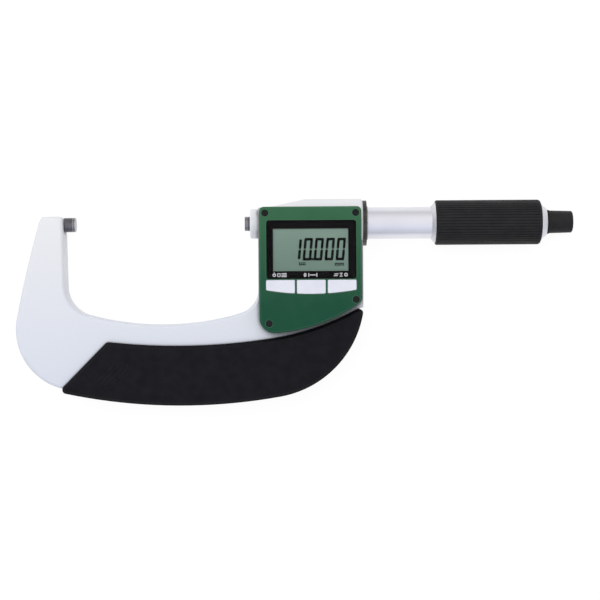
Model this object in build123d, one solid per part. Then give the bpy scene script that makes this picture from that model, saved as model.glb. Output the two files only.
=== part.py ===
from build123d import *
import math
import os

# Digital outside micrometer for 50 to 75 mm, lying on its back and opened fully.
# The origin is the centre of the anvil's measuring face. X runs along the spindle
# axis towards the thimble, Y is up in front view and Z faces the display side.

# Measuring range and screw
RANGE_MIN = 50.0            # smallest size that fits between the faces
TRAVEL = 25.0               # spindle travel
GAP = RANGE_MIN + TRAVEL    # faces apart at rest
SPINDLE_D = 6.35
TIP_T = 1.2                 # hard metal face on anvil and spindle
THREAD_D = 7.2              # spindle screw, pitch 0.5, left plain
RUN = 0.025                 # radial running clearance of spindle, screw and key
SEAT = 0.02                 # radial clearance of a fixed seat
FIT = 0.12                  # gap round a part that drops into a recess
OVERLAP = 0.5               # joined shapes reach this far into each other
PAST = 1.0                  # a cut runs this far past the face that it opens
SHORT = 0.2                 # a pin ends this far before the floor of its hole
SCREW_SHORT = 0.5           # and a screw this far

# Frame
ANVIL_PROUD = 4.9           # anvil stands out of the arm
ANVIL_SHANK_D = 5.0
ANVIL_SHANK_L = 7.5
THROAT_DEPTH = 44.4         # spindle axis to throat floor
THROAT_FLOOR_R = 126.5
THROAT_R_ANVIL = 13.5       # throat corner on the anvil side
THROAT_R_NOSE = 11.6        # throat corner on the spindle side
ARM_DRAFT = 0.9             # arm's inner wall leans in this much at the floor
ARM_TOP_Y = 3.5
ARM_TOP_W = 9.3
ARM_CHAMFER_X = 1.3
ARM_CHAMFER_Y = 2.8
HEEL_W = 24.7               # arm's inner wall to the sharp heel corner
HEEL_R = 26.9
ARM_BOW = 1.1               # outward bow of the arm's outer edge
BAND_H = 33.8               # throat floor to the frame's lowest edge
LOWER_R = 246.0
TOE_R = 43.0
TOE_INSET = 1.2             # frame's toe stands back from the housing's right face
FRAME_T = 14.0
FRAME_EDGE_R = 1.5
ARM_CORNER_R = 1.6          # a little more than the edge radius
WEB_T = 4.0                 # web between the two grips
SPOT_FACE = 1.0             # flat ring round the anvil's seat

# Nose, display housing and barrel boss
SPINDLE_PROUD = 2.4         # spindle stands out of the nose when opened fully
NOSE_D = 13.1
NOSE_L = 3.66
NOSE_CHAMFER = 0.6
NOSE_ROOT = 0.8             # nose keeps its size this far into the housing
HOUSING_W = 46.0
HOUSING_TOP_Y = 6.75
HOUSING_BACK = 10.2         # depth of the flat back below the spindle axis
BOSS_D = 21.6
BOSS_L = 25.5               # full-size part of the boss
HOUSING_EDGE = 0.8

# Spindle guide and encoder
BUSH_D = 9.0
BUSH_L = 8.0
WIPER_T = 1.5
WIPER_RECESS = 0.4
WIPER_LIP = 0.5             # bevel at the wiper's lip
BORE_D = 8.0                # clearance bore behind the bush
CHAMBER_D = 12.4
CHAMBER_L = 23.0            # chamber and barrel seat, from the housing's right face
BARREL_SEAT_L = 7.5
STATOR_T = 1.5
STATOR_BORE_D = 8.0
STATOR_X = 4.5              # stator's place behind the chamber's floor
ENCODER_GAP = 0.3
ROTOR_D = 11.6
ROTOR_T = 1.0
HUB_D = 8.6
HUB_L = 7.2
KEY_W = 1.5
KEY_DEPTH = 0.9
KEYWAY_SPARE = 1.0          # keyway runs on this far at both ends
WASHER_D = 10.0
WASHER_GAP = 0.05
RIBBON_W = 3.0
RIBBON_T = 0.2
RIBBON_SLOT_W = 1.6
RIBBON_PLAY = 0.3
RIBBON_SLOT_SINK = 2.2      # slot starts this far inside the chamber

# Barrel, lock ring and thimble
BARREL_D = 14.0
BARREL_END_W = 52.3         # housing's right face to the barrel's rear end
BARREL_BORE_D = 8.0
NUT_L = 14.5                # threaded, split rear end of the barrel
NUT_NECK_STEP = 0.9         # split end is this much lower than the barrel
NUT_NECK_L = 7.5
SPLIT_W = 0.8
SPLIT_L = 11.0
SPLITS = 3
SPLIT_TURN = 30.0           # degrees to the first split
ADJUST_STEP = 0.2           # adjusting nut is this much lower than the barrel
ADJUST_T = 4.5
ADJUST_NOTCH = 1.0
ADJUST_NOTCHES = 4
ADJUST_GAP = 1.0            # neck's shoulder to the adjusting nut
LOCK_RIM = 3.0              # lock ring's height over the barrel
LOCK_RIB_DEPTH = 0.25
LOCK_RIB_LAND = 0.55        # share of the rib pitch that stands proud
LOCK_T = 1.6
LOCK_GAP = 0.15
LOCK_RIBS = 60
CLIP_T = 0.5
CLIP_PROUD = 0.5            # snap ring's height over the barrel
CLIP_MOUTH = 2.4            # open part of the snap ring
CLIP_GROOVE = 0.4
LOCK_PIN_D = 1.6
LOCK_PIN_GAP = 0.1          # pin to the free spindle
THIMBLE_X = 30.6            # bare barrel between housing and opened thimble
THIMBLE_PLAY = 0.12         # radial play of the thimble over the barrel
THIMBLE_LIP = 0.33          # thimble's wall at its front edge
THIMBLE_TUBE = 1.38         # thimble's wall under the sleeve
THIMBLE_SHOULDER = 0.6      # cone stands above the sleeve's seat
THIMBLE_CONE_L = 1.4
THIMBLE_L = 48.4
THIMBLE_WALL = 1.1          # rear wall that the end nut clamps
SLEEVE_WALL = 1.4
GRIP_LEAD = 1.5             # thimble front to the ribbed sleeve
GRIP_TAIL = 0.2
GRIP_RIBS = 48
RIB_DEPTH = 0.35
RIB_LAND = 0.62             # share of the rib pitch that stands proud
RIB_FLANK = 0.12            # share of the pitch in each sloping flank
GRIP_EDGE = 1.2
GRIP_KNEE = 0.3             # share of that edge at its middle corner
END_NUT_STEP = 0.7          # nut is this much lower than the sleeve's seat
END_NUT_REAR_D = 12.8
END_NUT_T = 2.4
END_NUT_EDGE = 0.3
STUB_D = 6.0

# Ratchet
KNOB_GAP = 0.1
KNOB_L = 11.9
KNOB_FRONT_D = 10.6
KNOB_REAR_D = 9.6
KNOB_LIP_L = 1.0
KNOB_EDGE = 0.2
KNOB_STEP_L = 0.3           # length of the step behind the lip
KNOB_STEP = 0.25            # and its depth
KNOB_REAR_EDGE = 0.4
KNOB_RIBS = 30
KNOB_RIB_DEPTH = 0.3
KNOB_RIB_LAND = 0.55        # share of the rib pitch that stands proud
KNOB_WALL = 1.1
KNOB_WEB_X = 2.5            # knob's front edge to its inner web
KNOB_WEB_T = 1.2
CAP_T = 1.9
CAP_DOME = 0.5
PLATE_T = 1.3
PLATE_PLAY = 0.3
PLATE_TEETH = 12
TOOTH_H = 0.5
TOOTH_SHARE = 0.8           # share of the tooth pitch that a tooth fills
TEETH_IN_R = 2.2
TEETH_OUT_R = 3.6
SCREW_D = 3.0
SCREW_HEAD_D = 5.6
SCREW_HEAD_T = 1.2
SCREW_SLOT_W = 0.8
SCREW_SLOT_DEPTH = 0.6
SCREW_DEPTH = 9.0
SPRING_T = 0.35
SPRING_H = 2.9              # height of the coned spring
SPRING_D = 6.4

# Grips
GRIP_LIP = 1.7              # grips stand out past the frame's lower edge
GRIP_LEFT_X = 19.3          # arm's inner wall to the grip's upper left corner
GRIP_LEFT_Y = 7.5           # throat floor to that corner
GRIP_MID_X = 46.5           # that corner to the upper edge's lowest stretch
GRIP_MID_Y = 9.0            # throat floor to the upper edge there
GRIP_NECK_X = 6.4           # cover's left side to the place where the upper edge turns up
GRIP_NECK_Y = 2.2           # cover's lower left corner to that turn
GRIP_TIP_X = 3.1            # tip to the grips' right side
GRIP_TIP_Y = 3.55           # cover's lower right corner to the grips' tip
GRIP_GAP = 1.15             # grips to the middle of the cover's lower edge
GRIP_SLANT = 45.5           # degrees
GRIP_FRONT_Z = 9.0
GRIP_BEVEL = 1.2
GRIP_CORNER_R = 1.8
PEG_D = 3.6
PEG_END = 0.1               # pegs end this far from the centre plane
PEG_PLACES = ((22.0, 21.0), (70.0, 22.0))   # from the arm and the lower edge
PEG_TOE = (19.0, 14.0)      # from the toe and the lower edge
GROOVES = 5
GROOVE_W = 0.9
GROOVE_DEPTH = 0.35
GROOVE_PITCH = 2.6
GROOVE_L = 15.0
GROOVE_X = 9.5              # first groove, from the slanted edge
GROOVE_Y = 14.0             # middle of the grooves, below the upper left corner
GROOVE_LIFT = 2.0           # row of grooves moved up along the slant
GROOVE_SHORTER = 1.6        # each groove is this much shorter than the last

# Display cover
COVER_INSET_LEFT = 0.6      # cover stands back from the housing's left face
COVER_INSET_RIGHT = 0.9     # and from its right face
COVER_Z = 13.5
COVER_WALL = 1.6
ROOF_SINK = 0.2             # posts and rim reach this far into the roof
COVER_RIGHT_H = 41.4        # straight right side
COVER_DROP = 3.95           # left side ends this far below the throat floor
COVER_BOW = 3.9
COVER_R = 2.0
COVER_R_BIG = 6.5
COVER_BEVEL = 0.5
GASKET_T = 0.4
GASKET_W = 1.0
GASKET_INSET = 0.3
WINDOW_X = 3.0              # cover's left side to the window
WINDOW_RIGHT = 2.25         # window to the cover's right side
WINDOW_Y = 5.9              # cover's top edge to the window
WINDOW_H = 25.6
WINDOW_R = 1.2
INNER_R = 0.2               # smallest corner inside the window's rim
WINDOW_SINK = 0.4
WINDOW_T = 1.0
MASK_T = 0.2
LEDGE_W = 0.9
LEDGE_T = 1.0
RIM_W = 0.8
RIM_W_LOW = 0.3
LCD_H = 18.5                # what the mask leaves open
LCD_X = 2.95                # window's left side to the opening
LCD_RIGHT = 3.5             # opening to the window's right side
LCD_Y = 3.7                 # window's top edge to the opening
GLASS_MARGIN = 1.5
GLASS_T = 1.4
CARRIER_T = 0.8
CARRIER_WALL = 0.7
CARRIER_LIP = 0.5
STRIP_W = 1.2
STRIP_INSET = 0.1           # glass edge to the contact strip
SCREW_POST_D = 5.0
COVER_SCREW_D = 2.0
COVER_SCREW_L = 6.6
COVER_HEAD_D = 3.0
COVER_HEAD_T = 0.9
COVER_HEAD_SINK = 0.3
COVER_HEAD_PLAY = 0.1
SOCKET_D = 1.4
SOCKET_SIDES = 6
SOCKET_DEPTH = 0.5
COVER_SCREW_SIDE = 2.5      # upper screws to the cover's sides
COVER_SCREW_TOP = 2.75      # and to its top edge
COVER_SCREW_RISE = 0.85     # lower right screw above the end of the right side
COVER_SCREW_LOW_X = 4.15    # lower left screw to the left side
COVER_SCREW_LOW_Y = 4.25    # and above the end of that side
COVER_SCREW_PLAY = 0.15     # radial play of the screws in the cover

# Keys
KEYS = 3
KEY_CAP_GAP = 0.9
KEY_CAP_X = 2.9             # cover's left side to the first key
KEY_CAP_RIGHT = 2.3         # last key to the cover's right side
KEY_CAP_Y = 31.95           # cover's top edge to the keys
KEY_SIDE_H = 4.4
KEY_MID_H = 6.1
KEY_CORNER_R = 0.5
KEY_PROUD = 0.4
KEY_TRAVEL = 0.6
KEY_FLANGE = 0.35
KEY_HOLE_GAP = 0.15
KEY_REST_GAP = 0.05
KEY_EDGE = 0.25

# Board
BOARD_LIFT = 1.4
BOARD_T = 1.0
BOARD_INSET = 0.5           # cover's inner wall to the board
BOARD_LOW = 1.9             # board ends this far above the cover's right lower corner
BOARD_CORNER_R = 0.6
BOARD_SCREW_D = 1.2
BOARD_SCREW_PLAY = 0.15
BOARD_HEAD_D = 2.2
BOARD_HEAD_T = 0.5
BOARD_SCREW_DEPTH = 3.5
STANDOFF_D = 3.2
STANDOFF_LOW_LEFT = (2.2, 3.4)      # in from the board's lower left corner
STANDOFF_LOW_RIGHT = (2.0, 6.0)     # in from its lower right corner
STANDOFF_TOP_LEFT = (4.3, 2.3)      # in from its upper left corner
STANDOFF_TOP_MID = (15.1, 2.3)
SWITCH_D = 5.0
SWITCH_H = 0.9
SWITCH_DROP = 0.3           # switches lie this far below the keys' middle
POCKET_WALL = 2.6
POCKET_TOP_Y = 9.4          # spindle axis to the pocket's upper wall
POCKET_REACH = 1.0          # pocket ends this far below the throat floor
POCKET_R = 3.0
BACK_WALL = 2.4
BAY_TOP = 3.5               # top of the battery bay's dome below the spindle axis
BAY_WALL = 1.6

# Battery
CELL_D = 20.0
CELL_T = 3.2
CELL_RIM_T = 2.24           # part of the cell that has its full diameter
CELL_STEP = 1.2             # cell's top is this much smaller all round
CELL_OFFSET = 1.1           # cell's centre left of the housing's middle
CELL_Y = 24.0               # spindle axis to the cell's centre
CELL_GAP = 0.3
CELL_PLAY = 0.1             # play of the cell under the bay's floor
BAY_FLOOR = 4.9             # bay floor below the spindle axis
CAP_D = 24.0
CAP_RECESS = 2.0
CAP_SINK = 0.1
CAP_FLANGE = 1.4
CAP_EDGE = 0.3
CAP_SLOT_W = 1.8
CAP_SLOT_L = 13.0
CAP_SLOT_DEPTH = 0.8
CONTACT_HOLE_D = 6.0
CONTACT_D = 1.4
CONTACT_HEAD_D = 3.6
CONTACT_HEAD_T = 0.6
LEAF_W = 3.0
LEAF_T = 0.25
LEAF_GAP = 0.05
LEAF_REACH = 2.0            # leaf reaches this far down beside the cell

# Places that follow from the sizes above
SPINDLE_R = SPINDLE_D / 2
LOCK_D = BARREL_D + 2 * LOCK_RIM
CLIP_D = BARREL_D + 2 * CLIP_PROUD
NUT_NECK_D = BARREL_D - 2 * NUT_NECK_STEP
ADJUST_D = BARREL_D - 2 * ADJUST_STEP
THIMBLE_BORE_D = BARREL_D + 2 * THIMBLE_PLAY
THIMBLE_FRONT_D = THIMBLE_BORE_D + 2 * THIMBLE_LIP
THIMBLE_BODY_D = THIMBLE_BORE_D + 2 * THIMBLE_TUBE
THIMBLE_CONE_D = THIMBLE_BODY_D + 2 * THIMBLE_SHOULDER
GRIP_D = THIMBLE_BODY_D + 2 * SLEEVE_WALL
END_NUT_FRONT_D = THIMBLE_BODY_D - 2 * END_NUT_STEP
ARM_X = -ANVIL_PROUD
NOSE_X = GAP + SPINDLE_PROUD
HOUSING_X = NOSE_X + NOSE_L
HOUSING_END_X = HOUSING_X + HOUSING_W
TOE_X = HOUSING_END_X - TOE_INSET
FRAME_Z = FRAME_T / 2
WEB_Z = WEB_T / 2
LOWER_Y = -(THROAT_DEPTH + BAND_H)
BUSH_X = NOSE_X + WIPER_RECESS + WIPER_T
CHAMBER_X = HOUSING_END_X - CHAMBER_L
STATOR_FRONT_X = CHAMBER_X + STATOR_X
ROTOR_X = STATOR_FRONT_X + STATOR_T + ENCODER_GAP
HUB_END_X = ROTOR_X + HUB_L
BARREL_X = HOUSING_END_X - BARREL_SEAT_L
BARREL_END_X = HOUSING_END_X + BARREL_END_W
NUT_X = BARREL_END_X - NUT_L
LOCK_X = HOUSING_END_X + LOCK_GAP
CLIP_X = LOCK_X + LOCK_T + WASHER_GAP
THIMBLE_FRONT_X = HOUSING_END_X + THIMBLE_X
THIMBLE_END_X = THIMBLE_FRONT_X + THIMBLE_L
END_NUT_END_X = THIMBLE_END_X + END_NUT_T
KNOB_X = END_NUT_END_X + KNOB_GAP
KNOB_END_X = KNOB_X + KNOB_L
COVER_X = HOUSING_X + COVER_INSET_LEFT
COVER_END_X = HOUSING_END_X - COVER_INSET_RIGHT
COVER_W = COVER_END_X - COVER_X
COVER_RIGHT_Y = HOUSING_TOP_Y - COVER_RIGHT_H
COVER_LEFT_Y = -THROAT_DEPTH - COVER_DROP
WINDOW_W = COVER_W - WINDOW_X - WINDOW_RIGHT
LCD_W = WINDOW_W - LCD_X - LCD_RIGHT
KEY_CAP_W = (COVER_W - KEY_CAP_X - KEY_CAP_RIGHT - (KEYS - 1) * KEY_CAP_GAP) / KEYS
COVER_FOOT_Z = FRAME_Z + GASKET_T
COVER_ROOF_Z = COVER_Z - COVER_WALL
WINDOW_Z = COVER_Z - WINDOW_SINK - WINDOW_T
BOARD_Z = FRAME_Z + BOARD_LIFT
BOARD_TOP_Z = BOARD_Z + BOARD_T
GLASS_Z = BOARD_TOP_Z + CARRIER_T
CELL_CENTRE = (HOUSING_X + HOUSING_W / 2 - CELL_OFFSET, -CELL_Y)
CAP_SHOULDER_Z = CAP_RECESS - HOUSING_BACK
CELL_Z = -BAY_FLOOR - CELL_T - CELL_PLAY
BIG = 400.0                 # longer than the whole part
BAND_REACH = 2 * BAND_H


def turned(points):
    """Turn a closed profile of (x, radius) points about the spindle axis."""
    return revolve(make_face(Polyline(*points, close=True)), Axis.X, 360)


def ring(x0, x1, outer_d, inner_d=0.0):
    """Straight rod or ring on the spindle axis."""
    r_in = inner_d / 2
    r_out = outer_d / 2
    return turned([(x0, r_in), (x1, r_in), (x1, r_out), (x0, r_out)])


def slab(face, z0, z1):
    """Raise a flat outline from one height to another."""
    return Pos(0, 0, z0) * extrude(face, z1 - z0, dir=(0, 0, 1))


def block(x0, x1, y0, y1, z0, z1):
    """Box between two corners."""
    return Pos((x0 + x1) / 2, (y0 + y1) / 2, (z0 + z1) / 2) * Box(x1 - x0, y1 - y0, z1 - z0)


def rectangle(x0, y1, width, height, radius=0.0):
    """Flat rectangle from its upper left corner."""
    shape = Rectangle(width, height) if radius == 0 else RectangleRounded(width, height, radius)
    return Pos(x0 + width / 2, y1 - height / 2) * shape


def post(place, diameter, z0, z1):
    """Round post along Z."""
    return Pos(place[0], place[1], (z0 + z1) / 2) * Cylinder(diameter / 2, z1 - z0)


def round_corner(face, point, radius):
    """Round the corner of a flat outline that lies nearest a point."""
    corner = face.vertices().sort_by_distance(Vector(*point))[0]
    return fillet(corner, radius)


def ribbed(x0, x1, diameter, count, depth, land):
    """Rod with straight ribs cut along the spindle axis."""
    outer = diameter / 2
    inner = outer - depth
    pitch = 2 * math.pi / count
    corners = []
    for i in range(count):
        start = i * pitch
        corners.append((outer, start))
        corners.append((outer, start + land * pitch))
        corners.append((inner, start + (land + RIB_FLANK) * pitch))
        corners.append((inner, start + (1 - RIB_FLANK) * pitch))
    points = [(r * math.cos(a), r * math.sin(a)) for r, a in corners]
    section = Plane.YZ.offset(x0) * make_face(Polyline(*points, close=True))
    return extrude(section, x1 - x0, dir=(1, 0, 0))


def lower_y(x):
    """Height of the frame's lower edge, which is one long arc."""
    mid_x = (ARM_X - HEEL_W + TOE_X) / 2
    return LOWER_Y + LOWER_R - math.sqrt(LOWER_R ** 2 - (x - mid_x) ** 2)


def filled_outline():
    """Frame seen from the front with the throat filled in."""
    top_inner = (HOUSING_X + PAST, ARM_TOP_Y)
    top_outer = (ARM_X - ARM_TOP_W, ARM_TOP_Y)
    shoulder = (top_outer[0] - ARM_CHAMFER_X, ARM_TOP_Y - ARM_CHAMFER_Y)
    heel = (ARM_X - HEEL_W, lower_y(ARM_X - HEEL_W))
    toe = (TOE_X, lower_y(TOE_X))
    bow = ((shoulder[0] + heel[0]) / 2 - ARM_BOW, (shoulder[1] + heel[1]) / 2)
    bottom = ((heel[0] + toe[0]) / 2, LOWER_Y)
    edge = [
        Line(top_inner, top_outer),
        Line(top_outer, shoulder),
        ThreePointArc(shoulder, bow, heel),
        ThreePointArc(heel, bottom, toe),
        Line(toe, (TOE_X, ARM_TOP_Y)),
        Line((TOE_X, ARM_TOP_Y), top_inner),
    ]
    face = round_corner(make_face(edge), toe, TOE_R)
    return round_corner(face, heel, HEEL_R)


def frame_outline():
    """C shape with every corner rounded, so that the edge rounding runs on all round."""
    face = filled_outline() - throat_outline()
    arm_inner = (ARM_X, ARM_TOP_Y)
    arm_outer = (ARM_X - ARM_TOP_W, ARM_TOP_Y)
    shoulder = (arm_outer[0] - ARM_CHAMFER_X, ARM_TOP_Y - ARM_CHAMFER_Y)
    under_housing = ((HOUSING_X, ARM_TOP_Y), (TOE_X, ARM_TOP_Y))
    for point in (arm_inner, arm_outer, shoulder) + under_housing:
        face = round_corner(face, point, ARM_CORNER_R)
    return face


def throat_outline():
    """Space between arm and housing, open upwards."""
    mid_x = (ARM_X + HOUSING_X) / 2
    half = (HOUSING_X - ARM_X) / 2
    side_y = -THROAT_DEPTH + THROAT_FLOOR_R - math.sqrt(THROAT_FLOOR_R ** 2 - half ** 2)
    left = (ARM_X + ARM_DRAFT, side_y)
    right = (HOUSING_X, side_y)
    rise = 2 * ARM_TOP_Y
    top = (ARM_X - ARM_DRAFT * rise / -side_y, rise)
    edge = [
        Line(top, left),
        ThreePointArc(left, (mid_x, -THROAT_DEPTH), right),
        Line(right, (HOUSING_X, rise)),
        Line((HOUSING_X, rise), top),
    ]
    face = make_face(edge)
    face = round_corner(face, left, THROAT_R_ANVIL)
    return round_corner(face, right, THROAT_R_NOSE)


def grip_corner():
    """Upper left corner of the grips."""
    return (ARM_X + GRIP_LEFT_X, -THROAT_DEPTH - GRIP_LEFT_Y)


def grip_zone():
    """Area below the grips' upper edge and right of their slanted edge."""
    corner = grip_corner()
    middle = (corner[0] + GRIP_MID_X, -THROAT_DEPTH - GRIP_MID_Y)
    neck = (COVER_X + GRIP_NECK_X, COVER_LEFT_Y - GRIP_NECK_Y)
    tip_y = COVER_RIGHT_Y - GRIP_TIP_Y
    tip = (toe_side(tip_y, GRIP_LIP) - GRIP_TIP_X, tip_y)
    slant = math.radians(GRIP_SLANT)
    low = (corner[0] - BAND_REACH * math.cos(slant), corner[1] - BAND_REACH * math.sin(slant))
    out = tip[0] + 2 * GRIP_LIP + GRIP_TIP_X
    edge = [
        ThreePointArc(corner, middle, neck),
        ThreePointArc(neck, cover_bow(GRIP_GAP), tip),
        Line(tip, (out, tip[1] + GRIP_LIP)),
        Line((out, tip[1] + GRIP_LIP), (out, low[1])),
        Line((out, low[1]), low),
        Line(low, corner),
    ]
    return make_face(edge)


def lower_outline(out):
    """Area over the frame's lower edge and toe, moved outwards by this much."""
    mid_x = (ARM_X - HEEL_W + TOE_X) / 2
    centre_y = LOWER_Y + LOWER_R
    ends = []
    for x in (ARM_X - HEEL_W - out, TOE_X + out):
        ends.append((x, centre_y - math.sqrt((LOWER_R + out) ** 2 - (x - mid_x) ** 2)))
    left, right = ends
    edge = [
        ThreePointArc(left, (mid_x, LOWER_Y - out), right),
        Line(right, (right[0], ARM_TOP_Y)),
        Line((right[0], ARM_TOP_Y), (left[0], ARM_TOP_Y)),
        Line((left[0], ARM_TOP_Y), left),
    ]
    return round_corner(make_face(edge), right, TOE_R + out)


def grip_outline():
    """Grips follow the frame's lower edge and stand out past it."""
    corner = grip_corner()
    face = lower_outline(GRIP_LIP) & grip_zone()
    ends = (face.vertices().sort_by(Axis.X)[0], face.vertices().sort_by(Axis.Y)[-1])
    for point in (corner, tuple(ends[0]), tuple(ends[1])):
        face = round_corner(face, point[:2], GRIP_CORNER_R)
    return face


def toe_side(y, out):
    """Right side of the toe's rounding at a height, moved outwards by this much."""
    mid_x = (ARM_X - HEEL_W + TOE_X) / 2
    centre_x = TOE_X - TOE_R
    drop = math.sqrt((LOWER_R - TOE_R) ** 2 - (centre_x - mid_x) ** 2)
    centre_y = LOWER_Y + LOWER_R - drop
    return centre_x + math.sqrt((TOE_R + out) ** 2 - (y - centre_y) ** 2)


def cover_bow(out):
    """Middle of the cover's curved lower edge, moved outwards by this much."""
    run_x = COVER_END_X - COVER_X
    run_y = COVER_RIGHT_Y - COVER_LEFT_Y
    share = (COVER_BOW + out) / math.hypot(run_x, run_y)
    mid_x = (COVER_X + COVER_END_X) / 2
    mid_y = (COVER_LEFT_Y + COVER_RIGHT_Y) / 2
    return (mid_x + share * run_y, mid_y - share * run_x)


def cover_outline():
    """Display cover seen from the front."""
    top_left = (COVER_X, HOUSING_TOP_Y)
    top_right = (COVER_END_X, HOUSING_TOP_Y)
    low_right = (COVER_END_X, COVER_RIGHT_Y)
    low_left = (COVER_X, COVER_LEFT_Y)
    edge = [
        Line(low_left, top_left),
        Line(top_left, top_right),
        Line(top_right, low_right),
        ThreePointArc(low_right, cover_bow(0), low_left),
    ]
    face = make_face(edge)
    for point in (top_left, top_right, low_right):
        face = round_corner(face, point, COVER_R)
    return round_corner(face, low_left, COVER_R_BIG)


def in_cover(place):
    """Place given from the cover's upper left corner, to the right and down."""
    return (COVER_X + place[0], HOUSING_TOP_Y - place[1])


def cover_screw_points():
    """Cover screws, each placed from its own corner of the cover."""
    top_y = HOUSING_TOP_Y - COVER_SCREW_TOP
    return [
        (COVER_X + COVER_SCREW_SIDE, top_y),
        (COVER_END_X - COVER_SCREW_SIDE, top_y),
        (COVER_END_X - COVER_SCREW_SIDE, COVER_RIGHT_Y + COVER_SCREW_RISE),
        (COVER_X + COVER_SCREW_LOW_X, COVER_LEFT_Y + COVER_SCREW_LOW_Y),
    ]


def board_sides():
    """Left, right, upper and lower side of the board."""
    inset = COVER_WALL + BOARD_INSET
    return COVER_X + inset, COVER_END_X - inset, HOUSING_TOP_Y - inset, COVER_RIGHT_Y + BOARD_LOW


def standoff_points():
    """Standoffs under the board, each placed from its own corner of the board."""
    left, right, top, low = board_sides()
    return [
        (left + STANDOFF_LOW_LEFT[0], low + STANDOFF_LOW_LEFT[1]),
        (right - STANDOFF_LOW_RIGHT[0], low + STANDOFF_LOW_RIGHT[1]),
        (left + STANDOFF_TOP_LEFT[0], top - STANDOFF_TOP_LEFT[1]),
        (left + STANDOFF_TOP_MID[0], top - STANDOFF_TOP_MID[1]),
    ]


def window_outline(margin=0.0):
    """Display window, or the same outline a margin larger."""
    left, top = in_cover((WINDOW_X, WINDOW_Y))
    radius = max(WINDOW_R + margin, INNER_R)
    return rectangle(
        left - margin, top + margin, WINDOW_W + 2 * margin, WINDOW_H + 2 * margin, radius
    )


def lcd_outline(margin=0.0):
    """Visible part of the display, or the same a margin larger."""
    left, top = in_cover((WINDOW_X + LCD_X, WINDOW_Y + LCD_Y))
    return rectangle(left - margin, top + margin, LCD_W + 2 * margin, LCD_H + 2 * margin)


def key_outline(index):
    """One of the three keys, whose lower edges lie on one arc."""
    left, top = in_cover((KEY_CAP_X, KEY_CAP_Y))
    row_w = KEYS * KEY_CAP_W + (KEYS - 1) * KEY_CAP_GAP
    row = make_face([
        Line((left, top), (left + row_w, top)),
        Line((left + row_w, top), (left + row_w, top - KEY_SIDE_H)),
        ThreePointArc(
            (left + row_w, top - KEY_SIDE_H),
            (left + row_w / 2, top - KEY_MID_H),
            (left, top - KEY_SIDE_H),
        ),
        Line((left, top - KEY_SIDE_H), (left, top)),
    ])
    own_left = left + index * (KEY_CAP_W + KEY_CAP_GAP)
    key = row & rectangle(own_left, top, KEY_CAP_W, KEY_MID_H + PAST)
    return fillet(key.vertices(), KEY_CORNER_R)


def boss_body():
    """Nose, cone and barrel boss, turned about the spindle axis."""
    nose_r = NOSE_D / 2
    boss_r = BOSS_D / 2
    boss_x = HOUSING_END_X - BOSS_L
    return turned([
        (NOSE_X, 0),
        (NOSE_X, nose_r - NOSE_CHAMFER),
        (NOSE_X + NOSE_CHAMFER, nose_r),
        (HOUSING_X + NOSE_ROOT, nose_r),
        (boss_x, boss_r),
        (HOUSING_END_X - HOUSING_EDGE, boss_r),
        (HOUSING_END_X, boss_r - HOUSING_EDGE),
        (HOUSING_END_X, 0),
    ])


def spindle_bores():
    """Bores along the spindle axis through nose, housing and boss."""
    front = ring(NOSE_X - PAST, BUSH_X + BUSH_L, BUSH_D + 2 * SEAT)
    passage = ring(BUSH_X, CHAMBER_X + PAST, BORE_D)
    chamber = ring(CHAMBER_X, HOUSING_END_X + PAST, CHAMBER_D + 2 * SEAT)
    return front + passage + chamber


def battery_bay():
    """Cap recess, cell bay, contact hole and slot, cut from the back."""
    x, y = CELL_CENTRE
    bay = post(CELL_CENTRE, CAP_D, -HOUSING_BACK - PAST, CAP_SHOULDER_Z)
    bay += post(CELL_CENTRE, CELL_D + 2 * CELL_GAP, CAP_SHOULDER_Z - OVERLAP, -BAY_FLOOR)
    bay += post(CELL_CENTRE, CONTACT_HOLE_D, -BAY_FLOOR - OVERLAP, -BAY_TOP + OVERLAP)
    leaf_y = y - CELL_D / 2
    bay += block(
        x - LEAF_W / 2 - CELL_GAP, x + LEAF_W / 2 + CELL_GAP,
        leaf_y - LEAF_T - 2 * LEAF_GAP - CELL_GAP, leaf_y + OVERLAP,
        -BAY_FLOOR - LEAF_REACH - OVERLAP, -BAY_TOP + OVERLAP,
    )
    return bay


def peg_points():
    """Centres of the grips' pegs, placed from the arm, the toe and the lower edge."""
    points = [(ARM_X + x, lower_y(ARM_X + x) + y) for x, y in PEG_PLACES]
    toe_x = TOE_X - PEG_TOE[0]
    return points + [(toe_x, lower_y(toe_x) + PEG_TOE[1])]


def housing_block():
    """Display housing: flat back, bevelled back edge, lower side along the grips."""
    recess = offset(grip_zone(), FIT, kind=Kind.ARC)
    outline = rectangle(HOUSING_X, HOUSING_TOP_Y, HOUSING_W, THROAT_DEPTH + BAND_H)
    housing = slab(outline - recess, -HOUSING_BACK, FRAME_Z)
    return chamfer(housing.faces().sort_by(Axis.Z)[0].edges(), HOUSING_EDGE)


def housing_pocket():
    """Hollow of the housing behind the board, round the battery bay and screw posts."""
    outline = rectangle(
        HOUSING_X + POCKET_WALL, -POCKET_TOP_Y, HOUSING_W - 2 * POCKET_WALL,
        THROAT_DEPTH + POCKET_REACH - POCKET_TOP_Y, POCKET_R,
    )
    zone = offset(grip_zone(), POCKET_WALL, kind=Kind.ARC)
    floor_z = BACK_WALL - HOUSING_BACK
    hollow = slab(outline - zone, floor_z, FRAME_Z + PAST)
    hollow -= post(CELL_CENTRE, CAP_D + 2 * BAY_WALL, floor_z - PAST, -BAY_TOP)
    for place in cover_screw_points():
        hollow -= post(place, SCREW_POST_D, floor_z - PAST, FRAME_Z)
    for place in standoff_points():
        hollow -= post(place, STANDOFF_D, floor_z - PAST, FRAME_Z)
    return hollow


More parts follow.
